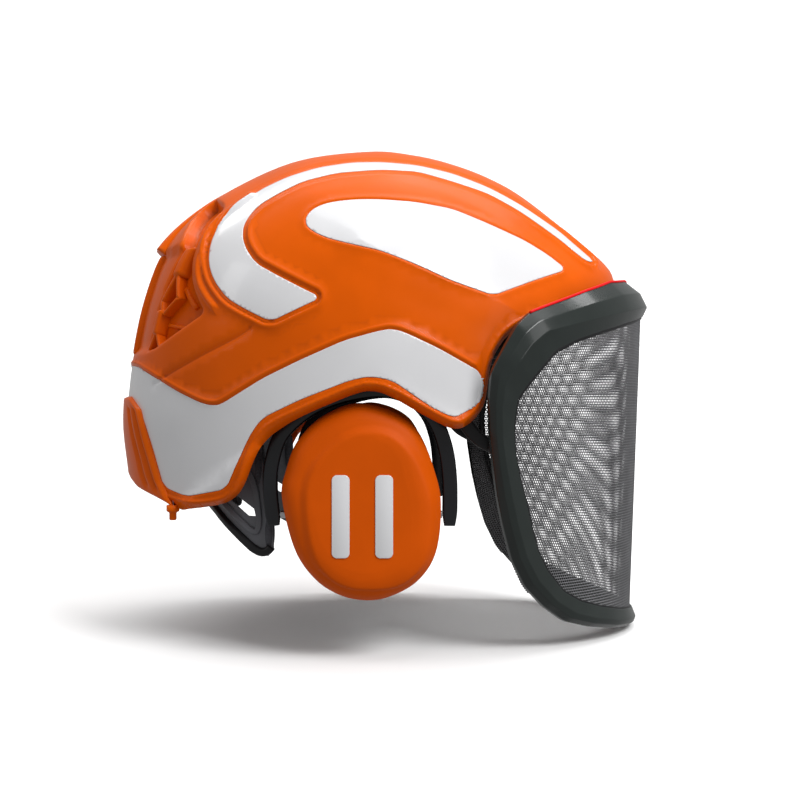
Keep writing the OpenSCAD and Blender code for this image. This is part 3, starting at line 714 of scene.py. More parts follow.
def build_spine():
    parts = []
    # roof over the vents: it rises towards a sharp step low down
    rows, hs = [], []
    for t in np.linspace(0, 1, 40):
        z = 130 - 45.5 * t
        half = 15 + 17 * t
        r, h = [], []
        for q in np.linspace(-1, 1, 33):
            r.append((q * half, z))
            fall = float(edge_round((q + 1) / 2, 0.1))
            step = min(1.0, (1 - t) / 0.02)
            groove = 1.1 * float(bump(abs(q), 0.62, 0.09)) * t
            h.append(-0.5 + (0.7 + 4.4 * t ** 1.4) * fall * step - groove)
        rows.append(r)
        hs.append(h)
    parts.append(rear_patch(rows, -3.0, hs))
    # three linked plates down the middle of the back, each with a sunk diamond
    for top, low in ((82, 64), (63, 45), (44, 27)):
        rows, hs = [], []
        for t in np.linspace(0, 1, 23):
            z = top + (low - top) * t
            half = 8 + 9 * math.sin(math.pi * min(t * 1.15, 1)) ** 0.8
            r, h = [], []
            for s in np.linspace(-1, 1, 25):
                r.append((s * half * 1.5, z))
                lift = 3.0 * edge_round(t, 0.12) * edge_round((s + 1) / 2, 0.12)
                diamond = abs(s) * half / 6.5 + abs(t - 0.5) * abs(top - low) / 7.5
                h.append(-2.6 + float(lift) - 2.4 * float(smooth(1.15, 0.85, diamond)))
            rows.append(r)
            hs.append(h)
        parts.append(rear_patch(rows, -4.8, hs))
    parts += rear_pair([(26, 85), (27, 25)], 8, -5.0, 0.6, 0.25)
    return add("spine_links", joined(parts), "crown_spine", "shell_orange", "helmet")


CHAIN = [
    ([(65, 84), (66, 68)], 7.0), ([(66, 70), (60, 54)], 2.4), ([(66, 70), (73, 55)], 2.0),
    ([(60, 55), (64, 47)], 2.4), ([(73, 56), (65, 47)], 2.0), ([(62, 50), (62, 36)], 5.0),
    ([(62, 38), (57, 27)], 2.4), ([(62, 38), (68, 28)], 2.0)]
BLADES = [([(68, 92), (78, 74)], 2.2), ([(71, 62), (82, 50)], 2.4), ([(66, 42), (86, 38)], 2.4)]


def build_louvres():
    parts = []
    for line, wide in CHAIN:
        parts += rear_pair(line, wide, -7.0, 0.2 if wide > 4 else -0.8)
    for line, wide in BLADES:
        parts += rear_pair(line, wide, -7.2, -4.6)
    return add("rear_louvre_blades", joined(parts), "rear_louvres", "shell_orange", "helmet")


BUMPER_EDGE = [(-140, 2), (-131, -6), (-127, -18), (-123, -30), (-117, -46), (-109, -58)]
BUMPER_FOOT = [(-150, -42), (-142, -44), (-133, -49.5), (-120, -53.5), (-109, -57.5)]


def build_bumper():
    foot_x = [p[0] for p in BUMPER_FOOT]
    foot_z = [p[1] for p in BUMPER_FOOT]
    ys = np.linspace(0, 112, 240)
    rows, hs = [], []
    for down in np.linspace(0, 1, 44):
        z_row = 2 - 59 * down
        x_edge = float(np.interp(-z_row, [-p[1] for p in BUMPER_EDGE], [p[0] for p in BUMPER_EDGE]))
        xs = np.array([rear_x(y, z_row) for y in ys])
        y_edge = float(np.interp(x_edge, xs, ys))
        t = np.linspace(-1, 1, 75)
        t = np.sign(t) * np.abs(t) ** 0.75
        r, h = [], []
        for k in t:
            y = k * y_edge
            z_foot = float(np.interp(rear_x(y, -50), foot_x, foot_z))
            r.append((y, 2 + (z_foot - 2) * down))
            from_edge = (1 - abs(k)) * y_edge
            lift = min(from_edge / 1.5, 1)
            body = 2.3 * math.sqrt(max(0, 1 - (1 - lift) ** 2)) * float(edge_round(down, 0.045))
            open_part = float(smooth(0.1, 0.16, down) * smooth(0.94, 0.88, down))
            groove = 1.9 * float(bump(from_edge, 5.5, 2.4)) + 1.7 * float(bump(from_edge, 13, 2.8))
            h.append(0.3 + body - groove * open_part)
        rows.append(r)
        hs.append(h)
    return add("rear_bumper_wrap", rear_patch(rows, -0.6, hs), "rear_bumper", "shell_orange", "helmet")


spine = build_spine()
louvres = build_louvres()
bumper = build_bumper()


def build_pegs():
    low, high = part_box("cape_pegs")
    r = (high.x - low.x) / 2 / MM
    parts = []
    for s in (-1, 1):
        y = s * (high.y / MM - r)
        z0, z1 = low.z / MM, high.z / MM
        x = (low.x + high.x) / 2 / MM
        top = z1 - z0
        prof = [(0.2, 0), (1.5, 0), (1.95, 0.5), (1.95, top - 4.2), (2.4, top - 3.7), (3.2, top - 3.3),
                (3.45, top - 2.8), (3.45, top), (0.2, top)]
        parts.append(lathe_net(prof, (x, y, z0), "z", 32))
    return add("cape_peg_pair", joined(parts), "cape_pegs", "shell_orange", "helmet")


pegs = build_pegs()

# ---------------------------------------------------------------- visor
VISOR_X0 = 50.0
# Each station: outer edge angle and height, inner edge angle and height, how far the outer edge lies
# behind, and the place of the ridge across the bar
STATIONS = [
    (0, 70, 0, 50.5, 11, 0.72), (17, 69, 16, 48, 10, 0.72),
    (33, 65.5, 30, 43, 8, 0.7), (46, 58.5, 42, 37.5, 6, 0.66),
    (57, 51.5, 52, 32, 4.5, 0.6), (67, 45, 60, 25.5, 3.5, 0.5), (71.5, 38.5, 64.5, 16.5, 2.5, 0.45),
    (76.5, 26, 68.5, 8.5, 2, 0.45), (81, 14.5, 72, 0.5, 2, 0.45), (82, 0, 73, -12, 2, 0.45),
    (81.5, -16, 72.5, -26, 2, 0.45),
    (80, -32, 70.5, -41, 2, 0.45), (78, -50, 68, -54, 2, 0.45), (75.5, -66, 66, -67, 2, 0.45),
    (72, -84, 63.5, -80, 2, 0.45), (67, -99, 60, -91, 2, 0.45), (60, -111, 54, -103, 2, 0.45),
    (52.5, -120, 47, -110, 2, 0.45), (43, -125, 38, -115, 2, 0.45), (30, -129.5, 26, -119.5, 2, 0.45),
    (15, -132.5, 13, -122.5, 2, 0.45), (0, -134, 0, -123.5, 2, 0.45)]


def visor_at(a, z):
    a, z = np.broadcast_arrays(np.radians(np.asarray(a, float)), np.asarray(z, float))
    front = 154.5 + (z + 37) * 0.035
    w = 116 - 22 * np.clip((20 - z) / 133, 0, 1)
    x = VISOR_X0 + (front - VISOR_X0) * np.maximum(np.cos(a), 0) ** 1.333
    y = -w * np.abs(np.sin(a)) ** 1.111 * np.sign(a)
    return np.stack([x, y, z], -1)


def visor_off(a, z, off):
    t = visor_at(np.asarray(a) + 1.5, z) - visor_at(np.asarray(a) - 1.5, z)
    n = unit_rows(np.stack([-t[..., 1], t[..., 0], 0 * t[..., 0]], -1))
    return visor_at(a, z) + n * np.asarray(off)[..., None]


def straight_runs(rows, spacing):
    """Stations at an even spacing along straight runs, with only the corners eased."""
    p = np.array(rows, float)
    mid = visor_at(p[:, 0], p[:, 1])
    s = np.r_[0, np.cumsum(np.linalg.norm(np.diff(mid, axis=0), axis=1))]
    t = np.linspace(0, s[-1], int(s[-1] / spacing))
    out = np.stack([np.interp(t, s, p[:, k]) for k in range(p.shape[1])], 1)
    for _ in range(2):
        out[1:-1] = 0.25 * out[:-2] + 0.5 * out[1:-1] + 0.25 * out[2:]
    return out


half_loop = straight_runs(STATIONS, 1.5)
other = half_loop[-2:0:-1].copy()
other[:, 0] *= -1
other[:, 2] *= -1
LOOP = np.vstack([half_loop, other])


def loop_point(f, off):
    """Point on every station, f of the way from the outer to the inner edge."""
    s = LOOP
    f = np.broadcast_to(f, len(s))
    return visor_off(s[:, 0] + (s[:, 2] - s[:, 0]) * f, s[:, 1] + (s[:, 3] - s[:, 1]) * f, off)


def bevelled(ring, size):
    """Every ring of points (stations, corners, 3) with each corner cut to three points."""
    def towards(other):
        d = other - ring
        length = np.linalg.norm(d, axis=-1, keepdims=True)
        return ring + d / np.maximum(length, 1e-9) * np.minimum(size, length * 0.42)

    before = towards(np.roll(ring, 1, 1))
    after = towards(np.roll(ring, -1, 1))
    middle = ring * 0.5 + (before + after) * 0.25
    return np.stack([before, middle, after], 2).reshape(len(ring), -1, 3)


def flat_faced(ob):
    """Lets the large faces set the shading, so that only the narrow bevels look round."""
    ob.modifiers.new("flat_faces", "WEIGHTED_NORMAL").weight = 100
    return ob


def build_visor_frame():
    s4, s5 = LOOP[:, 4], LOOP[:, 5]
    t, ridge = 3.5, 2.4
    corners = [
        loop_point(0, -s4 - t), loop_point(0, -s4), loop_point(s5 * 0.45, ridge - s4 * 0.4),
        loop_point(s5, ridge), loop_point(1, 0), loop_point(1, -t * 0.6), loop_point(s5, -t - s4 * 0.4)]
    ring = bevelled(np.stack(corners, 1), 0.5)
    v = ring.reshape(-1, 3)
    f = strip_faces(len(ring), ring.shape[1], wrap_rows=True, wrap_cols=True)
    return flat_faced(add("visor_frame_bar", (v, f), "visor_frame", "frame_black", "visor"))


def build_retainer():
    s4 = LOOP[:, 4]
    corners = [
        loop_point(0.96, -0.6), loop_point(1.04, -0.5), loop_point(1.075, -1.0), loop_point(1.07, -2.2),
        loop_point(1.0, -3.4 - s4 * 0.02), loop_point(0.9, -4.4 - s4 * 0.1),
        loop_point(0.88, -3.4 - s4 * 0.1)]
    ring = bevelled(np.stack(corners, 1), 0.35)
    f = strip_faces(len(ring), ring.shape[1], wrap_rows=True, wrap_cols=True)
    return add("visor_clamp_ring", (ring.reshape(-1, 3), f), "visor_retainer", "harness_black", "visor")


def build_seal():
    top = [s for s in LOOP if s[1] > 44.5]
    top.sort(key=lambda s: s[0])
    s = np.array(top)
    path = visor_off(s[:, 0], s[:, 1], -s[:, 4] - 0.2)
    path[:, 2] += 0.3
    n = visor_off(s[:, 0], s[:, 1], 1.0) - visor_off(s[:, 0], s[:, 1], 0.0)
    net = sweep_net(path, n, rounded(1.4, 1.5, 0.6))
    return add("visor_seal_bead", net, "visor_seal", "seal_red", "visor")


WIRE_PITCH = 1.5
ROW_PITCH = 1.57
HOLE_SHARE = 0.58
MARGIN_SHARE = 0.5


def hex_net(cs, cz, place, share):
    """Open six-sided cells round the centres (cs, cz); place(s, z, layer) gives the points."""
    k = np.arange(6)
    cx = np.sin(np.pi / 3 * k) * WIRE_PITCH / math.sqrt(3)
    cz0 = np.cos(np.pi / 3 * k) * ROW_PITCH / 1.5
    rings = []
    for scale, layer in ((1.0, 0.25), (share, 0.0), (1.0, -0.25)):
        rings.append(place(cs[:, None] + scale * cx, cz[:, None] + scale * cz0, layer))
    v = np.stack(rings, 1).reshape(-1, 3)
    base = (np.arange(len(cs)) * 18)[:, None]
    k2 = (k + 1) % 6
    f1 = np.stack([base + k, base + k2, base + 6 + k2, base + 6 + k], -1).reshape(-1, 4)
    f2 = np.stack([base + 6 + k, base + 6 + k2, base + 12 + k2, base + 12 + k], -1).reshape(-1, 4)
    return v, np.vstack([f1, f2]).tolist()


def build_mesh():
    a_line = np.linspace(-80, 80, 1601)
    mid = visor_at(a_line, -40)
    s_line = np.r_[0, np.cumsum(np.linalg.norm(np.diff(mid, axis=0), axis=1))]
    s_line -= s_line[-1] / 2
    upper = half_loop[half_loop[:, 3] > -10]
    lower = half_loop[half_loop[:, 3] < -12]
    rows = np.arange(-126, 56, ROW_PITCH)
    cols = np.arange(math.floor(s_line[0] / WIRE_PITCH), math.ceil(s_line[-1] / WIRE_PITCH))
    cs, cz = [], []
    for j, z in enumerate(rows):
        s = (cols + (0.5 if j % 2 else 0)) * WIRE_PITCH
        a = np.abs(np.interp(s, s_line, a_line))
        top = np.interp(a, upper[:, 2], upper[:, 3])
        low = np.interp(a, lower[::-1, 2], lower[::-1, 3])
        ok = (a < 73.5) & (z < top + 2.2) & (z > low - 2.2)
        cs.append(s[ok])
        cz.append(np.full(ok.sum(), z))
    cs, cz = np.concatenate(cs), np.concatenate(cz)

    def place(s, z, layer):
        return visor_off(np.interp(s, s_line, a_line), z, np.full(s.shape, -1.5 + layer))

    # margin of the same sheet, folded back over the inside of the side and lower bars
    loop_mid = loop_point(0.5, 0)
    run = np.r_[0, np.cumsum(np.linalg.norm(np.diff(loop_mid, axis=0), axis=1))]
    side = (LOOP[:, 3] < 4) & (LOOP[:, 1] > -118)
    ms, mw = [], []
    wide = np.linalg.norm(loop_point(0, 0) - loop_point(1, 0), axis=1)
    for j in range(9):
        s = np.arange(0, run[-1], WIRE_PITCH) + (WIRE_PITCH / 2 if j % 2 else 0)
        ok = (np.interp(s, run, side.astype(float)) > 0.99) & (1.8 + j * ROW_PITCH < np.interp(s, run, wide))
        ms.append(s[ok])
        mw.append(np.full(ok.sum(), 1.0 + j * ROW_PITCH))
    ms, mw = np.concatenate(ms), np.concatenate(mw)

    def place_margin(s, w, layer):
        part = [np.interp(s, run, LOOP[:, k]) for k in range(6)]
        f = 1 - w / np.interp(s, run, wide)
        inner_slope = 2.1 + (1.4 + part[4] * 0.4) * (1 - f) / (1 - part[5])
        outer_slope = 3.5 + part[4] * (1 - 0.6 * f / part[5])
        back = np.where(f > part[5], inner_slope, outer_slope)
        a = part[0] + (part[2] - part[0]) * f
        z = part[1] + (part[3] - part[1]) * f
        return visor_off(a, z, -back - 1.0 + layer)

    made = []
    for name, keep, keep_m in (("right", cs <= 0, ms <= run[-1] / 2), ("left", cs > 0, ms > run[-1] / 2)):
        window = hex_net(cs[keep], cz[keep], place, HOLE_SHARE)
        margin = hex_net(ms[keep_m], mw[keep_m], place_margin, MARGIN_SHARE)
        net = joined([window, margin])
        made.append(add(f"visor_wire_mesh_{name}", net, "visor_mesh", "mesh_steel", "visor", flat=True))
    return made


visor_frame = build_visor_frame()
retainer = build_retainer()
seal = build_seal()
wire = build_mesh()


def build_arms():
    y = 91.8
    path = catmull([(20, 22), (25, 14), (34, 4), (46, -12), (53, -20), (62, -25), (67, -27)], 6, False)
    p3 = np.c_[path[:, 0], np.full(len(path), -y), path[:, 1]]
    side = sweep_net(p3, (0, -1, 0), rounded(7.6, 3.2, 1.58, 6))
    ring = [(3.2, -1.2), (3.2, 1.2), (3.4, 1.6), (7.4, 1.6), (8, 1.0), (8, -1.0), (7.4, -1.6), (3.4, -1.6)]
    eye = lathe_net(ring, (20, -y, 22), "y", 40)
    stud = [(0.3, 12.2), (3.9, 12.2), (4.4, 11.6), (4.6, 2), (4.6, 0), (4.2, -1.2), (3.2, -1.6), (0.3, -1.6)]
    boss = lathe_net(stud, (62, -y - 0.2, -25), "y", 36)
    bv = boss[0].copy()
    bv[:, 1] = -y - (bv[:, 1] + y + 0.2)
    return pair("visor_arm_rod", joined([side, eye, (bv, boss[1])]), "visor_arm_{}", "harness_black", "visor")


arms = build_arms()

# ---------------------------------------------------------------- ear muffs
CUP_SIDE = [
    (-6.4, -1.7), (18.6, -12.8), (30.9, -40.4), (33, -60.3), (29.9, -80.3), (20.7, -93.6), (6.9, -101.3),
    (-5.4, -103.3), (-18.7, -100.7), (-31.5, -92.6), (-42.2, -77.2), (-48.9, -50.6), (-46.8, -36.3),
    (-40.7, -21), (-26.9, -7.7)]
CUP_C = np.array([-8, -52.5])
cup_curve = catmull(CUP_SIDE, 14, True)
cup_reach = np.hypot(*(cup_curve - CUP_C).T)


def cup_ring(d, y):
    """The cup's outline drawn in by d, at distance y from the middle."""
    q = CUP_C + (cup_curve - CUP_C) * (1 - d / cup_reach)[:, None]
    return np.c_[q[:, 0], -np.broadcast_to(y, len(q)), q[:, 1]]


PLATEAU = [
    (-15, -20), (-4, -17), (7, -19), (17, -28), (24.5, -42), (27.5, -57), (26, -73), (21, -87), (12, -94.5),
    (-1, -96.5), (-16, -95), (-26, -88), (-32, -75), (-34.5, -57), (-34, -43), (-28, -31)]


def build_cup():
    inner = cup_ring(4, 94.2)
    edge = [
        (0.5, 94.0), (0, 95), (0, 100.5), (1.2, 104.6), (3.6, 107.8), (7, 109.8), (11, 110.9), (15, 111.3)]
    prof = catmull(edge, 5, False)
    rings = [inner] + [cup_ring(d, y) for d, y in prof]
    for t in np.linspace(0, 1, 34)[1:-1]:
        rings.append(cup_ring(15 + (cup_reach - 15.5) * t, 111.35 + 0.05 * t))
    v = np.vstack(rings)
    side = v[:, [0, 2]]
    s = signed(side, catmull(PLATEAU, 6, True))
    fade = 5.0 - 3.8 * smooth(-82, -92, v[:, 2])
    outside = smooth(0, 1, (s + 0.4) / fade) * smooth(98, 106, -v[:, 1])
    v[:, 1] += 1.7 * outside
    m = len(cup_curve)
    f = strip_faces(len(rings), m, wrap_cols=True)
    f.append(end_caps(len(rings), m)[1])
    rim_part = [cup_ring(d, y) for d, y in ((4, 94.2), (4, 98), (8, 105), (16, 108.4), (30, 108.8))]
    v2 = np.vstack(rim_part)
    f2 = [x[::-1] for x in strip_faces(len(rim_part), m, wrap_cols=True)]
    f2.append(end_caps(len(rim_part), m)[1][::-1])
    return pair("cup_cap_shell", joined([(v, f), (v2, f2)]), "cup_cap_{}", "cup_orange", "ear_cup_{}")


# Two plain upright reflective bars on each cup: middle, low end and high end
REFLECTOR_X = (-18, 4)
REFLECTOR_HALF = 4.5
REFLECTOR_Z = (-80, -38)


def build_reflectors():
    parts = []
    for x in REFLECTOR_X:
        low, high = REFLECTOR_Z
        line = [
            (x - REFLECTOR_HALF, high), (x + REFLECTOR_HALF, high),
            (x + REFLECTOR_HALF, low), (x - REFLECTOR_HALF, low)]
        parts.append(plate_net(fillet(line, (1.6, 0.6)), 111.3, 111.92, 0.2))
    return pair("cup_reflector", joined(parts), "reflectors_{}", "decal_white", "ear_cup_{}")


def build_housing():
    prof = [
        (9.5, 87.6), (4.6, 87.3), (3.6, 88), (3.4, 89), (3.4, 92.6), (3.8, 93.6), (9.5, 93.6), (9.7, 92),
        (9.7, 88.4)]
    rings = [cup_ring(d, y) for d, y in prof]
    m = len(cup_curve)
    f = strip_faces(len(rings), m, wrap_rows=True, wrap_cols=True)
    plate = [cup_ring(d, y) for d, y in ((9.4, 92.2), (9.4, 93.5), (40, 93.5))]
    net = joined([(np.vstack(rings), f), (np.vstack(plate), tube_faces(len(plate), m))])
    return pair("cup_housing_ring", net, "cup_housing_{}", "harness_black", "ear_cup_{}")


def build_cushion():
    steps = 30
    m = len(cup_curve)
    rings = []
    around = np.linspace(0, 2 * np.pi, m, endpoint=False)
    for j in range(steps):
        t = 2 * math.pi * j / steps
        c, s = math.cos(t), math.sin(t)
        w = 8.5 * np.sign(c) * abs(c) ** 0.72
        h = 6.5 * np.sign(s) * abs(s) ** 0.72
        face = max(0, -s)
        crease = 0.28 * face * np.sin(around * 26 + 1.5 * np.sin(around * 5)) * max(0, c)
        seam = -0.7 * float(bump(t, 0.42, 0.13)) - 0.5 * float(bump(t, 5.05, 0.1))
        rings.append(cup_ring(13.5 - w - seam * np.sign(c) + crease, 80.5 + h + 0.25 * crease))
    f = strip_faces(len(rings), m, wrap_rows=True, wrap_cols=True)
    made = pair("cushion_ring", (np.vstack(rings), f), "ear_cushion_{}", "cushion_skin", "ear_cup_{}")
    return made


def build_cup_foam():
    rings = [cup_ring(d, y) for d, y in ((10.4, 91.8), (10.2, 91), (10.4, 89.8), (11.2, 89.2), (14, 89))]
    for t in np.linspace(0, 1, 26)[1:-1]:
        ring = cup_ring(14 + (cup_reach - 14.6) * t, 89.3)
        ring[:, 1] -= 0.45 * np.sin(ring[:, 0] / 3.1) * np.sin(ring[:, 2] / 3.1)
        rings.append(ring)
    net = (np.vstack(rings), tube_faces(len(rings), len(cup_curve)))
    made = pair("cup_foam_pad", net, "cup_foam_{}", "ear_foam", "ear_cup_{}")
    return made


YOKE = [
    (-54, -66), (-56, -48), (-55, -32), (-48.5, -16), (-30, -2), (-3, 5), (16, 2), (29, -9), (35.5, -24),
    (38, -42), (38, -66)]


def build_yoke():
    mid = 90.1
    path = catmull(YOKE, 8, False)
    p3 = np.c_[path[:, 0], np.full(len(path), -mid), path[:, 1]]
    end = np.minimum(np.arange(len(path)), np.arange(len(path))[::-1])
    scale = np.clip(0.72 + end / 10, 0.72, 1)
    strip = sweep_net(p3, (0, -1, 0), rounded(8, 3.2, 1.1), scale=scale)
    low = np.array([(-10, 2), (6, 2), (6, 33), (-10, 33)], float)
    stem = plate_net(cut_corners(low), 88.6, 91.6, 0.5)
    ribs = []
    for k in range(5):
        z = 8 + 4.5 * k
        ribs.append(sweep_net([(-8, -91.6, z), (4, -91.6, z)], (0, -1, 0), rounded(1.6, 0.9, 0.4)))
    return pair("yoke_bow", joined([strip, stem] + ribs), "yoke_{}", "yoke_black", "yoke_{}")


caps = build_cup()
reflectors = build_reflectors()
housings = build_housing()
cushions = build_cushion()
foams = build_cup_foam()
yokes = build_yoke()

# ---------------------------------------------------------------- head harness
BAND_END = -50.0


def band_arc(a, b, t):
    t = np.radians(t)
    return np.c_[a * np.abs(np.cos(t)) ** (2 / 2.2), b * np.abs(np.sin(t)) ** (2 / 2.2) * np.sign(t)]


def build_headband():
    t = np.linspace(-90, 90, 121)
    arc = band_arc(96.1, 78.1, t)
    temple = np.linspace(BAND_END, -1, 22)
    line = np.vstack([[(x, -78.1) for x in temple], arc, [(x, 78.1) for x in temple[::-1]]])
    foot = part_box("headband")[0].z / MM
    p = np.c_[line, np.full(len(line), foot + 13)]
    shape = np.array([
        (-13, -0.6), (-12.6, -0.9), (-6, -0.9), (-5.2, -0.5),
        (5.2, -0.5), (6, -0.9), (12.6, -0.9), (13, -0.6),
        (13, 0.6), (12.6, 0.9), (6, 0.9), (5.2, 0.4), (-5.2, 0.4), (-6, 0.9), (-12.6, 0.9), (-13, 0.6)])
    t2 = unit_rows(np.roll(p, -1, 0) - np.roll(p, 1, 0))
    t2[0], t2[-1] = (1, 0, 0), (-1, 0, 0)
    up = np.cross(t2, (0, 0, 1))
    band = sweep_net(p, up, shape)
    guides = []

    def bar(start, end, shape):
        guides.append(sweep_net([start, end], (0, 1, 0), shape))

    for s in (-1, 1):
        for z, h in ((foot + 4, 3.0), (foot + 18.5, 2.6)):
            bar((-49, s * 82.0, z), (-36.5, s * 82.0, z), rounded(h, 5.0, 0.8))
        bar((-49, s * 83.9, foot + 11), (-36.5, s * 83.9, foot + 11), rounded(17, 1.4, 0.5))
        for k in range(9):
            x = 22 - 6.4 * k
            bar((x, s * 79.3, foot + 9), (x, s * 79.3, foot + 17), rounded(2.4, 0.7, 0.3))
    return add("headband_strip", joined([band] + guides), "headband", "harness_black", "helmet")


def padded_strip(line, z0, z1, depth, cells):
    """A quilted pad along a plan line: flat behind, crowned towards the head, drawn in at its seams."""
    p = resample(line, 1.3, False)
    t = unit_rows(np.vstack([p[1:2] - p[:1], p[2:] - p[:-2], p[-1:] - p[-2:-1]]))
    n = np.c_[-t[:, 1], t[:, 0]]
    s = np.linspace(0, 1, len(p))
    rows = []
    steps = 26
    for j in range(steps):
        a = 2 * math.pi * j / steps
        c, d = math.cos(a), math.sin(a)
        v = 0.5 + 0.5 * np.sign(c) * abs(c) ** 0.55
        front = max(0.0, d)
        seam = np.min([np.abs(s - k / cells) for k in range(1, cells)], 0) * cells
        drawn = 1 - 0.5 * np.exp(-(seam / 0.07) ** 2)
        ends = np.clip(np.minimum(s, 1 - s) / 0.03, 0, 1) ** 0.5
        back = max(0.0, -d)
        reach = depth * 0.5 * (1 - back ** 0.7 + front ** 0.7 * drawn) * (0.35 + 0.65 * ends)
        pinch = 1 - 0.12 * np.exp(-(seam / 0.08) ** 2)
        z = (z0 + z1) / 2 + (v - 0.5) * (z1 - z0) * pinch * (0.8 + 0.2 * ends)
        rows.append(np.c_[p + n * reach[:, None], z])
    arr = np.stack(rows, 1)
    return arr.reshape(-1, 3), tube_faces(len(p), steps)


def build_pads():
    made = []
    front = band_arc(95.0, 77.0, np.linspace(-66, 66, 150))
    low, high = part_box("sweatband")
    net = padded_strip(front, low.z / MM + 0.3, high.z / MM + 0.1, 4.5, 9)
    made.append(add("sweatband_pad", net, "sweatband", "pad_fabric", "helmet"))
    t = np.radians(np.linspace(-60, 60, 140))
    a, b = 54 - 1.7, 82.6 - 1.7
    back = np.c_[-46 - a * np.abs(np.cos(t)) ** 0.85, b * np.abs(np.sin(t)) ** 0.85 * np.sign(t)]
    net = padded_strip(back[::-1], -58, -39, 5.0, 5)
    made.append(add("neck_pad_cushion", net, "neck_pad", "pad_fabric", "neck_cradle"))
    # crown pad: a round quilted cushion with a star of stitching
    low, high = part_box("crown_pad")
    z_mid = (low.z + high.z) / 2 / MM
    rings = []
    n = 96
    ang = np.linspace(0, 2 * np.pi, n, endpoint=False)
    lobes = 1 + 0.035 * np.cos(ang * 8)
    for side in (-1, 1):
        for r in (np.linspace(0.02, 1, 20) if side < 0 else np.linspace(1, 0.02, 20)[1:]):
            seam = np.exp(-(((ang * 8 / (2 * np.pi)) % 1 - 0.5) / 0.09) ** 2)
            thick = 3.4 * (1 - r ** 4) ** 0.5 * (1 - 0.4 * seam * smooth(0.12, 0.3, r))
            reach = 28.5 * r * lobes
            rings.append(np.c_[reach * np.cos(ang), reach * np.sin(ang), z_mid + side * thick])
    net = (np.vstack(rings), tube_faces(len(rings), n))
    made.append(add("crown_pad_cushion", net, "crown_pad", "pad_fabric", "helmet"))
    return made


STRAP_FOOT = 46
STRAP_TOP = 116


def build_straps():
    parts = []
    for az in (42, 138):
        c, s = math.cos(math.radians(az)), math.sin(math.radians(az))
        t = np.radians(np.linspace(-84, 84, 120))
        z = STRAP_FOOT + (STRAP_TOP - STRAP_FOOT) * np.maximum(0, np.cos(t)) ** 0.8
        p = np.c_[84 * c * np.sin(t), 74 * s * np.sin(t), z]
        across = np.array([-s, c, 0])
        tt = unit_rows(np.gradient(p, axis=0))
        up = np.cross(tt, across)
        up *= np.sign(up[:, 2:3] + 1e-6)
        prof = np.array([(-10, -0.3), (-9.6, -0.62), (-8.2, -0.5), (8.2, -0.5), (9.6, -0.62), (10, -0.3),
                         (10, 0.3), (9.6, 0.62), (8.2, 0.5), (-8.2, 0.5), (-9.6, 0.62), (-10, 0.3)])
        parts.append(sweep_net(p, up, prof))
        for k in (6, len(p) - 7):
            loop = [p[k] + across * x for x in np.linspace(-11.5, 11.5, 9)]
            parts.append(sweep_net(np.array(loop), up[k], rounded(5, 3.0, 1.1)))
    return add("crown_webbing", joined(parts), "crown_straps", "webbing", "helmet")


def build_hangers():
    parts = []
    low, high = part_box("strap_hangers")
    z = (low.z + high.z) / 2 / MM
    for h in (-38, 38, -142, 142):
        c, s = math.cos(math.radians(h)), math.sin(math.radians(h))
        base = np.array([c * 86, s * 82, 0])
        x0 = -6 if abs(h) > 90 else 2
        radial = np.array([c, s, 0])
        tang = np.array([-s, c, 0])
        a = base + radial * (x0 + 0.6)
        b = base + radial * (x0 + 12.4)
        path = [a + (0, 0, z), (a + b) / 2 + (0, 0, z), b + (0, 0, z)]
        parts.append(sweep_net(path, (0, 0, 1), rounded(17.6, 8.6, 1.6)))
        for k in (-1, 1):
            q = a + tang * 5 * k + (0, 0, z - 4.1)
            parts.append(sweep_net([q, q + radial * 11.6], (0, 0, 1), rounded(2.2, 0.8, 0.3)))
    return add("strap_hanger_blocks", joined(parts), "strap_hangers", "harness_black", "helmet")


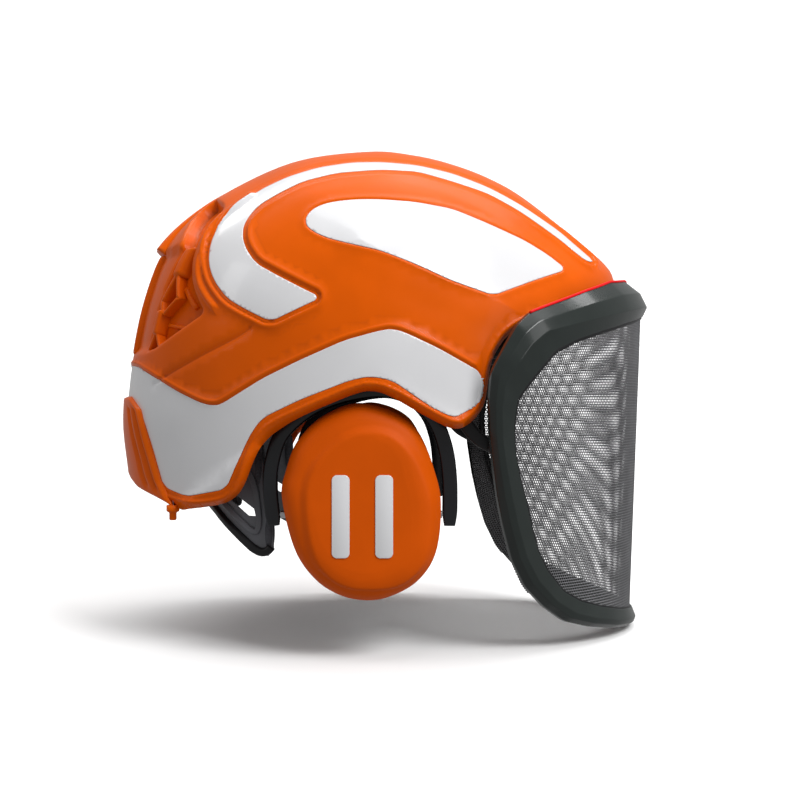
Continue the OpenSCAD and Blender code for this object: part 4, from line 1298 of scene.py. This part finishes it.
def build_liner():
    """Foam liner under the crown with shallow channels, following the inside of the dome."""
    gx, gz = np.meshgrid(np.arange(-260, 270, 3.4), np.arange(-60, 260, 2.95))
    gx[1::2] += 1.7
    grid = np.c_[gx.ravel(), gz.ravel()]
    d = grid - DOME_C
    grid = grid[np.hypot(*d.T) < radius(np.arctan2(d[:, 1], d[:, 0])) - 1.2]
    ths = np.linspace(-np.pi, np.pi, 500)
    mid = DOME_C + np.c_[np.cos(ths), np.sin(ths)] * radius(ths)[:, None]
    zone = [(-118, 50), (108, 62), (108, 170), (-118, 170)]
    edge = resample(np.array([(-118, 90), (-118, 50), (108, 62), (108, 100)], float), 2.0, False)
    rho = np.hypot(*(edge - DOME_C).T) / radius(np.arctan2(edge[:, 1] - DOME_C[1], edge[:, 0] - DOME_C[0]))
    edge = to_map(edge[rho < 0.998])
    cloud = np.vstack([edge, mid, grid])
    side = from_map(cloud)[:, [0, 2]]
    ok = inside(side, zone)
    ok[:len(edge)] = True
    d_edge = np.min(np.linalg.norm(cloud[len(edge):, None] - edge[None], axis=2), 1)
    ok[len(edge):] &= d_edge > 1.4
    cloud = cloud[ok]
    result = geometry.delaunay_2d_cdt([Vector(v) for v in cloud], [], [], 0, 1e-5)
    verts = np.array([tuple(v) for v in result[0]])
    tri = np.array(result[2])
    base = from_map(verts)
    centre = base[tri].mean(1)[:, [0, 2]]
    tri = tri[inside(centre, zone) & (longest_side(base, tri) < 16)]
    n = map_normals(verts)
    y = np.abs(base[:, 1])
    x = base[:, 0]
    channel = bump(y, 18, 5) + bump(y, 52, 5) + (bump(x, -40, 5) + bump(x, 30, 5)) * (y < 80)
    from_foot = base[:, 2] - (50 + (x + 118) * 0.053)
    border = smooth(8, 0, np.minimum(from_foot, np.minimum(x + 118, 108 - x)))
    top = base + n * (-3.9 - 6.2 * deep_share(base))[:, None]
    low = base + n * (-14.6 + 3.5 * np.clip(channel, 0, 1) + 3.0 * border)[:, None]
    k = len(base)
    faces = [tuple(t) for t in tri] + [tuple(i + k for i in t[::-1]) for t in tri]
    for a, b in boundary_edges(tri):
        if y[a] + y[b] > 0.05:
            faces.append((b, a, a + k, b + k))
    v, f = both_sides(np.vstack([top, low]), faces)
    return add("liner_foam_shell", (v, f), "impact_liner", "liner_foam", "helmet")


def cradle_point(x, z, off, s=1):
    """Point beside the neck cradle's curved wall; off is outwards."""
    c = np.clip((-49 - np.asarray(x, float)) / (51 + off), 0, 1) ** (1 / 0.85)
    y = (82.6 + off) * np.sqrt(1 - c ** 2) ** 0.85
    return np.c_[np.broadcast_to(x, y.shape), s * y, np.broadcast_to(z, y.shape)]


def build_cradle_trims():
    edge, ribs, pads = [], [], []
    lower = fillet([(-101, -57), (-92, -58.5), (-64, -81), (-58.5, -81), (-56.5, -78)], (3, 1), False)
    frame_line = fillet(
        [(-96, -51), (-88, -53), (-66, -71), (-63, -69), (-63, -60), (-65, -46), (-74, -28)], (3, 1), False)
    for s in (-1, 1):
        p = resample(lower, 1.2, False)
        edge.append(sweep_net(cradle_point(p[:, 0], p[:, 1], 0.2, s), (0, 0, 1), rounded(3.8, 4.6, 1.7)))
        p = resample(frame_line, 1.2, False)
        ribs.append(sweep_net(cradle_point(p[:, 0], p[:, 1], 0.5, s), (0, s, 0), rounded(3.2, 1.8, 0.8)))
        for z0, z1, x in ((-79, -63, -57.5), (-45, -24, -63)):
            up = np.linspace(z0, z1, 16)
            swell = 0.75 + 0.25 * np.sin(np.linspace(0, np.pi, 16))
            path = cradle_point(np.full(16, x), up, -2.0, s)
            pads.append(sweep_net(path, (0, s, 0), rounded(5.5, 5.5, 2.4), scale=swell))
    soft = add("cradle_edge_trim", joined(edge), None, "harness_black", "neck_cradle")
    rib = add("cradle_frame_ribs", joined(ribs), None, "cradle_grey", "neck_cradle")
    foam = add("cradle_end_pads", joined(pads), None, "ear_foam", "neck_cradle")
    return [soft, rib, foam]


def build_knob():
    low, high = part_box("adjuster_knob")
    r = (high.z - low.z) / 2 / MM
    cx = low.x / MM
    prof = [
        (0.3, 0.8), (6.0, 0.8), (7.0, 0.2), (10.5, 0.2), (r - 2.2, 0.6), (r - 0.7, 1.8), (r, 3.6), (r, 8.6),
        (r - 0.8, 9.8), (3.0, 10.0), (3.0, 18.0), (0.3, 18.0)]
    net = lathe_net(prof, (cx, 0, (low.z + high.z) / 2 / MM), "x", 144,
                    wobble=lambda a, rr: -0.07 * np.clip(np.cos(a * 16), 0, 1) ** 2 * (rr > 9))
    return add("adjuster_dial", net, "adjuster_knob", "harness_black", "adjuster_knob")


def build_adjuster_box():
    low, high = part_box("adjuster_housing")
    x0, x1 = low.x / MM, high.x / MM
    z = (low.z + high.z) / 2 / MM
    w = (high.y - low.y) / MM
    h = (high.z - low.z) / MM
    path = [(x0 + 0.3, 0, z), (x0 + 3, 0, z), ((x0 + x1) / 2, 0, z), (x1, 0, z)]
    box = sweep_net(np.array(path), (0, 0, 1), rounded(w, h, 6, 7), scale=[0.93, 1, 1, 1])
    collar = lathe_net([(3.2, -0.2), (9, -0.2), (10.5, 0.8), (11, 2.5), (3.2, 2.5)], (x0, 0, z), "x", 48)
    ribs = []
    for x in (x0 + 4, x0 + 7):
        ends = [(x, -w / 2 + 3, z + h / 2 - 0.1), (x, w / 2 - 3, z + h / 2 - 0.1)]
        ribs.append(sweep_net(ends, (0, 0, 1), rounded(1.2, 0.8, 0.3)))
    net = joined([box, collar] + ribs)
    return add("adjuster_case", net, "adjuster_housing", "harness_black", "neck_cradle")


headband = build_headband()
pads = build_pads()
straps = build_straps()
hangers = build_hangers()
liner = build_liner()
dial = build_knob()
case = build_adjuster_box()
cradle_trims = build_cradle_trims()

# ---------------------------------------------------------------- materials
def linear(c):
    """Linear colour of an sRGB colour in steps of 0 to 255."""
    share = [v / 255 for v in c]
    return tuple(((v + 0.055) / 1.055) ** 2.4 if v > 0.04045 else v / 12.92 for v in share) + (1,)


def node_material(name, colour, rough, variation=0.06, scale=60, grain=900, bump_size=0.02, metallic=0.0,
                  coat=0.0, coat_rough=0.05, wear=0.15, worn=None, sheen=0.0, rough_swing=0.06,
                  specular=0.5, cavity=0.0):
    mat = bpy.data.materials.new(name)
    mat.use_nodes = True
    nt = mat.node_tree
    n, link = nt.nodes, nt.links
    shader = n["Principled BSDF"]
    coord = n.new("ShaderNodeTexCoord")
    cloud = n.new("ShaderNodeTexNoise")
    cloud.inputs["Scale"].default_value = scale
    cloud.inputs["Detail"].default_value = 4
    link.new(coord.outputs["Object"], cloud.inputs["Vector"])
    ramp = n.new("ShaderNodeValToRGB")
    base = linear(colour)
    ramp.color_ramp.elements[0].position = 0.3
    ramp.color_ramp.elements[1].position = 0.7
    ramp.color_ramp.elements[0].color = tuple(v * (1 - variation) for v in base[:3]) + (1,)
    ramp.color_ramp.elements[1].color = tuple(min(1, v * (1 + variation)) for v in base[:3]) + (1,)
    link.new(cloud.outputs["Fac"], ramp.inputs["Fac"])
    # Painted highlight: sharp convex edges (high pointiness) are mixed towards a lighter colour, standing in
    # for light caught along the edges.
    geo = n.new("ShaderNodeNewGeometry")
    edge = n.new("ShaderNodeMapRange")
    edge.inputs["From Min"].default_value = 0.53
    edge.inputs["From Max"].default_value = 0.66
    edge.inputs["To Max"].default_value = wear
    link.new(geo.outputs["Pointiness"], edge.inputs["Value"])
    mix = n.new("ShaderNodeMixRGB")
    highlight_colour = tuple(min(1, v * 1.6 + 0.02) for v in base[:3]) + (1,)
    mix.inputs["Color2"].default_value = linear(worn) if worn else highlight_colour
    link.new(edge.outputs["Result"], mix.inputs["Fac"])
    # Painted shade: concave spots (low pointiness) are mixed towards a much darker copy of the base colour.
    if cavity:
        hollow = n.new("ShaderNodeMapRange")
        hollow.inputs["From Min"].default_value = 0.485
        hollow.inputs["From Max"].default_value = 0.42
        hollow.inputs["To Max"].default_value = cavity
        link.new(geo.outputs["Pointiness"], hollow.inputs["Value"])
        shade_mix = n.new("ShaderNodeMixRGB")
        shade_mix.inputs["Color2"].default_value = tuple(v * 0.22 + 0.006 for v in base[:3]) + (1,)
        link.new(hollow.outputs["Result"], shade_mix.inputs["Fac"])
        link.new(ramp.outputs["Color"], shade_mix.inputs["Color1"])
        link.new(shade_mix.outputs["Color"], mix.inputs["Color1"])
    else:
        link.new(ramp.outputs["Color"], mix.inputs["Color1"])
    link.new(mix.outputs["Color"], shader.inputs["Base Color"])
    fine = n.new("ShaderNodeTexNoise")
    fine.inputs["Scale"].default_value = grain
    fine.inputs["Detail"].default_value = 3
    link.new(coord.outputs["Object"], fine.inputs["Vector"])
    shine = n.new("ShaderNodeMapRange")
    shine.inputs["To Min"].default_value = max(0.02, rough - rough_swing)
    shine.inputs["To Max"].default_value = rough + rough_swing
    link.new(cloud.outputs["Fac"], shine.inputs["Value"])
    link.new(shine.outputs["Result"], shader.inputs["Roughness"])
    relief = n.new("ShaderNodeBump")
    relief.inputs["Strength"].default_value = 0.5
    relief.inputs["Distance"].default_value = bump_size * MM
    link.new(fine.outputs["Fac"], relief.inputs["Height"])
    link.new(relief.outputs["Normal"], shader.inputs["Normal"])
    shader.inputs["Metallic"].default_value = metallic
    shader.inputs["Coat Weight"].default_value = coat
    shader.inputs["Coat Roughness"].default_value = coat_rough
    shader.inputs["Sheen Weight"].default_value = sheen
    shader.inputs["Specular IOR Level"].default_value = specular
    return mat


def weave(mat, pitch, depth, kind):
    """Adds a woven or perforated relief to a material made above."""
    nt = mat.node_tree
    n, link = nt.nodes, nt.links
    shader = n["Principled BSDF"]
    coord = next(x for x in n if x.type == "TEX_COORD")
    relief = next(x for x in n if x.type == "BUMP")
    if kind == "cells":
        tex = n.new("ShaderNodeTexVoronoi")
        tex.inputs["Scale"].default_value = 1 / (pitch * MM)
        tex.feature = "F1"
        link.new(coord.outputs["Object"], tex.inputs["Vector"])
        height = tex.outputs["Distance"]
    else:
        waves = []
        for direction in ("X", "Y", "Z"):
            w = n.new("ShaderNodeTexWave")
            w.wave_type = "BANDS"
            w.bands_direction = direction
            w.inputs["Scale"].default_value = math.pi / (20 * pitch * MM)
            w.inputs["Distortion"].default_value = 0.4
            link.new(coord.outputs["Object"], w.inputs["Vector"])
            waves.append(w)
        m1 = n.new("ShaderNodeMath")
        m1.operation = "ADD"
        link.new(waves[0].outputs["Fac"], m1.inputs[0])
        link.new(waves[1].outputs["Fac"], m1.inputs[1])
        m2 = n.new("ShaderNodeMath")
        m2.operation = "ADD"
        link.new(m1.outputs[0], m2.inputs[0])
        link.new(waves[2].outputs["Fac"], m2.inputs[1])
        height = m2.outputs[0]
    second = n.new("ShaderNodeBump")
    second.inputs["Strength"].default_value = 0.8
    second.inputs["Distance"].default_value = depth * MM
    link.new(height, second.inputs["Height"])
    link.new(relief.outputs["Normal"], second.inputs["Normal"])
    link.new(second.outputs["Normal"], shader.inputs["Normal"])
    return mat


# Each slot: name, colour, roughness, variation, cloud scale, grain scale, relief in millimetres, the rest
# In the rest, the amount and colour given for edges paint a lighter highlight onto sharp convex edges.
FINISHES = {
    # Painted shade: the shell and cup finishes darken their concave spots by the amount given for hollows.
    "shell_orange": (
        "shell_orange_gloss", (212, 86, 0), 0.30, 0.05, 35, 1400, 0.012,
        dict(coat=0.03, coat_rough=0.04, wear=0.35, worn=(236, 120, 20), specular=0.07, cavity=0.75)),
    "cup_orange": (
        "cup_orange_satin", (208, 82, 0), 0.5, 0.05, 40, 1600, 0.03,
        dict(wear=0.10, worn=(232, 120, 30), specular=0.08, cavity=0.5)),
    "decal_white": (
        "decal_film", (214, 214, 216), 0.24, 0.02, 30, 2200, 0.006,
        dict(coat=0.3, wear=0.25, worn=(250, 250, 250), rough_swing=0.04)),
    "frame_black": (
        "visor_black_gloss", (34, 40, 38), 0.24, 0.10, 45, 1500, 0.015,
        dict(coat=0.12, coat_rough=0.06, wear=0.3, worn=(78, 86, 84), specular=0.3)),
    "harness_black": (
        "harness_moulded", (21, 21, 23), 0.4, 0.12, 60, 1800, 0.05,
        dict(wear=0.2, worn=(70, 70, 74), specular=0.3)),
    "yoke_black": (
        "yoke_moulded", (20, 22, 26), 0.24, 0.12, 50, 1500, 0.02,
        dict(coat=0.1, coat_rough=0.1, wear=0.25, worn=(84, 88, 96), specular=0.35)),
    "cradle_grey": (
        "cradle_plastic", (90, 91, 96), 0.45, 0.10, 60, 1500, 0.06, dict(wear=0.2, worn=(120, 121, 128))),
    "mesh_steel": (
        "mesh_coated_wire", (104, 104, 106), 0.36, 0.10, 80, 3000, 0.01, dict(metallic=0.4, wear=0.0)),
    "seal_red": (
        "seal_rubber", (222, 14, 20), 0.5, 0.06, 60, 1500, 0.02,
        dict(wear=0.1, worn=(236, 60, 60), specular=0.15)),
    "pad_fabric": (
        "pad_fabric_knit", (46, 47, 51), 0.85, 0.14, 120, 2400, 0.08, dict(wear=0.0, sheen=0.35)),
    "webbing": (
        "webbing_woven", (44, 44, 47), 0.8, 0.14, 160, 2400, 0.06,
        dict(wear=0.05, worn=(84, 84, 88), sheen=0.25)),
    "liner_foam": ("liner_bead_foam", (52, 53, 56), 0.75, 0.12, 90, 1200, 0.1, dict(wear=0.0)),
    "cushion_skin": (
        "cushion_leatherette", (30, 30, 33), 0.5, 0.12, 70, 1500, 0.05, dict(wear=0.1, worn=(70, 70, 76))),
    "ear_foam": ("ear_foam_open_cell", (72, 73, 78), 0.9, 0.16, 160, 900, 0.2, dict(wear=0.0)),
    "pin_steel": (
        "pin_steel_brushed", (176, 177, 180), 0.28, 0.08, 120, 2600, 0.015,
        dict(metallic=1.0, wear=0.1, worn=(225, 225, 228))),
}
# Pitch and depth of the second relief, in millimetres, and its kind
RELIEFS = {
    "pad_fabric": (1.1, 0.22, "cloth"), "webbing": (1.3, 0.3, "cloth"), "liner_foam": (3.2, 0.35, "cells"),
    "cushion_skin": (1.6, 0.18, "cells"), "ear_foam": (1.4, 0.5, "cells")}
MATERIALS = {slot: node_material(*finish[:-1], **finish[-1]) for slot, finish in FINISHES.items()}
for slot, relief in RELIEFS.items():
    weave(MATERIALS[slot], *relief)
# CAD solids that show as they are
CAD_SLOT = {
    "visor_hinge_plate_right": "harness_black", "visor_hinge_plate_left": "harness_black",
    "ear_bracket_right": "harness_black", "ear_bracket_left": "harness_black",
    "visor_hinge_screws": "pin_steel", "ear_hinge_pins": "pin_steel",
    "yoke_pins_right": "pin_steel", "yoke_pins_left": "pin_steel",
    "ear_arm_right": "yoke_black", "ear_arm_left": "yoke_black", "neck_cradle": "cradle_grey"}


def dress():
    """Gives every piece the material of its slot."""
    for ob in list(bpy.data.objects):
        if ob.type != "MESH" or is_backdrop(ob):
            continue
        name = ob.get("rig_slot")
        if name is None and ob.get("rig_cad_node"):
            name = CAD_SLOT.get(ob["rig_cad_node"])
        if name is None:
            print("no slot for", ob.name)
            continue
        ob.data.materials.clear()
        ob.data.materials.append(MATERIALS[name])


dress()

# ---------------------------------------------------------------- stage, lights and camera
scene = bpy.context.scene
scene.view_settings.view_transform = "Standard"
scene.view_settings.look = "None"
floor_z = cad_box[0][2] - 0.0005


def build_stage():
    rows = []
    path = [(-2.2, floor_z)] + [(x, floor_z) for x in np.linspace(-1.5, 1.0, 12)]
    bend = 0.7
    for a in np.linspace(0.1, math.pi / 2, 14):
        path.append((1.0 + bend * math.sin(a), floor_z + bend * (1 - math.cos(a))))
    path.append((1.0 + bend, floor_z + 2.6))
    xs = np.linspace(-3, 3, 9)
    v = [(x, y, z) for y, z in path for x in xs]
    f = strip_faces(len(path), len(xs))
    ob = new_mesh("studio_sweep", np.array(v) / MM, f)
    ob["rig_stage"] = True
    ob.visible_diffuse = False
    ob.visible_glossy = False
    mat = node_material("studio_paper", (252, 252, 252), 0.85, 0.005, 3, 300, 0.02, wear=0.0)
    ob.data.materials.append(mat)
    return ob


stage = build_stage()


def area(name, place, target, size, power):
    light = bpy.data.lights.new(name, "AREA")
    light.shape = "RECTANGLE"
    light.size, light.size_y = size
    light.energy = power
    ob = bpy.data.objects.new(name, light)
    scene.collection.objects.link(ob)
    ob.location = place
    ob.rotation_euler = (Vector(target) - Vector(place)).to_track_quat("-Z", "Y").to_euler()


area("key_softbox", (1.0, -1.0, 1.35), (0.02, 0, 0.03), (0.9, 0.7), 27)
area("top_softbox", (0.2, -0.2, 1.6), (0, 0, 0.05), (1.2, 1.0), 9)
area("front_strip", (1.3, -0.9, 0.5), (0, 0, 0), (0.35, 1.1), 4)
area("rear_strip", (-1.5, -0.7, 0.9), (0, 0, 0.05), (0.35, 0.9), 2.2)
area("backdrop_wash", (0, 0.55, 1.7), (0, 1.65, 0.1), (3.0, 0.5), 34)
world = bpy.data.worlds.new("studio_air")
scene.world = world
world.use_nodes = True
world.node_tree.nodes["Background"].inputs["Color"].default_value = (1, 1, 1, 1)
world.node_tree.nodes["Background"].inputs["Strength"].default_value = 0.4

camera = bpy.data.cameras.new("main_camera")
camera.lens = 50
camera.sensor_width = 36
cam = bpy.data.objects.new("main_camera", camera)
cam.location = (0.012, -0.673, 0.0)
cam.rotation_euler = (math.pi / 2, 0, 0)
scene.collection.objects.link(cam)
scene.camera = cam

new_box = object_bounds()
boxes = {"cad": cad_box, "visual": new_box}
{name: [list(map(float, v)) for v in box] for name, box in boxes.items()}
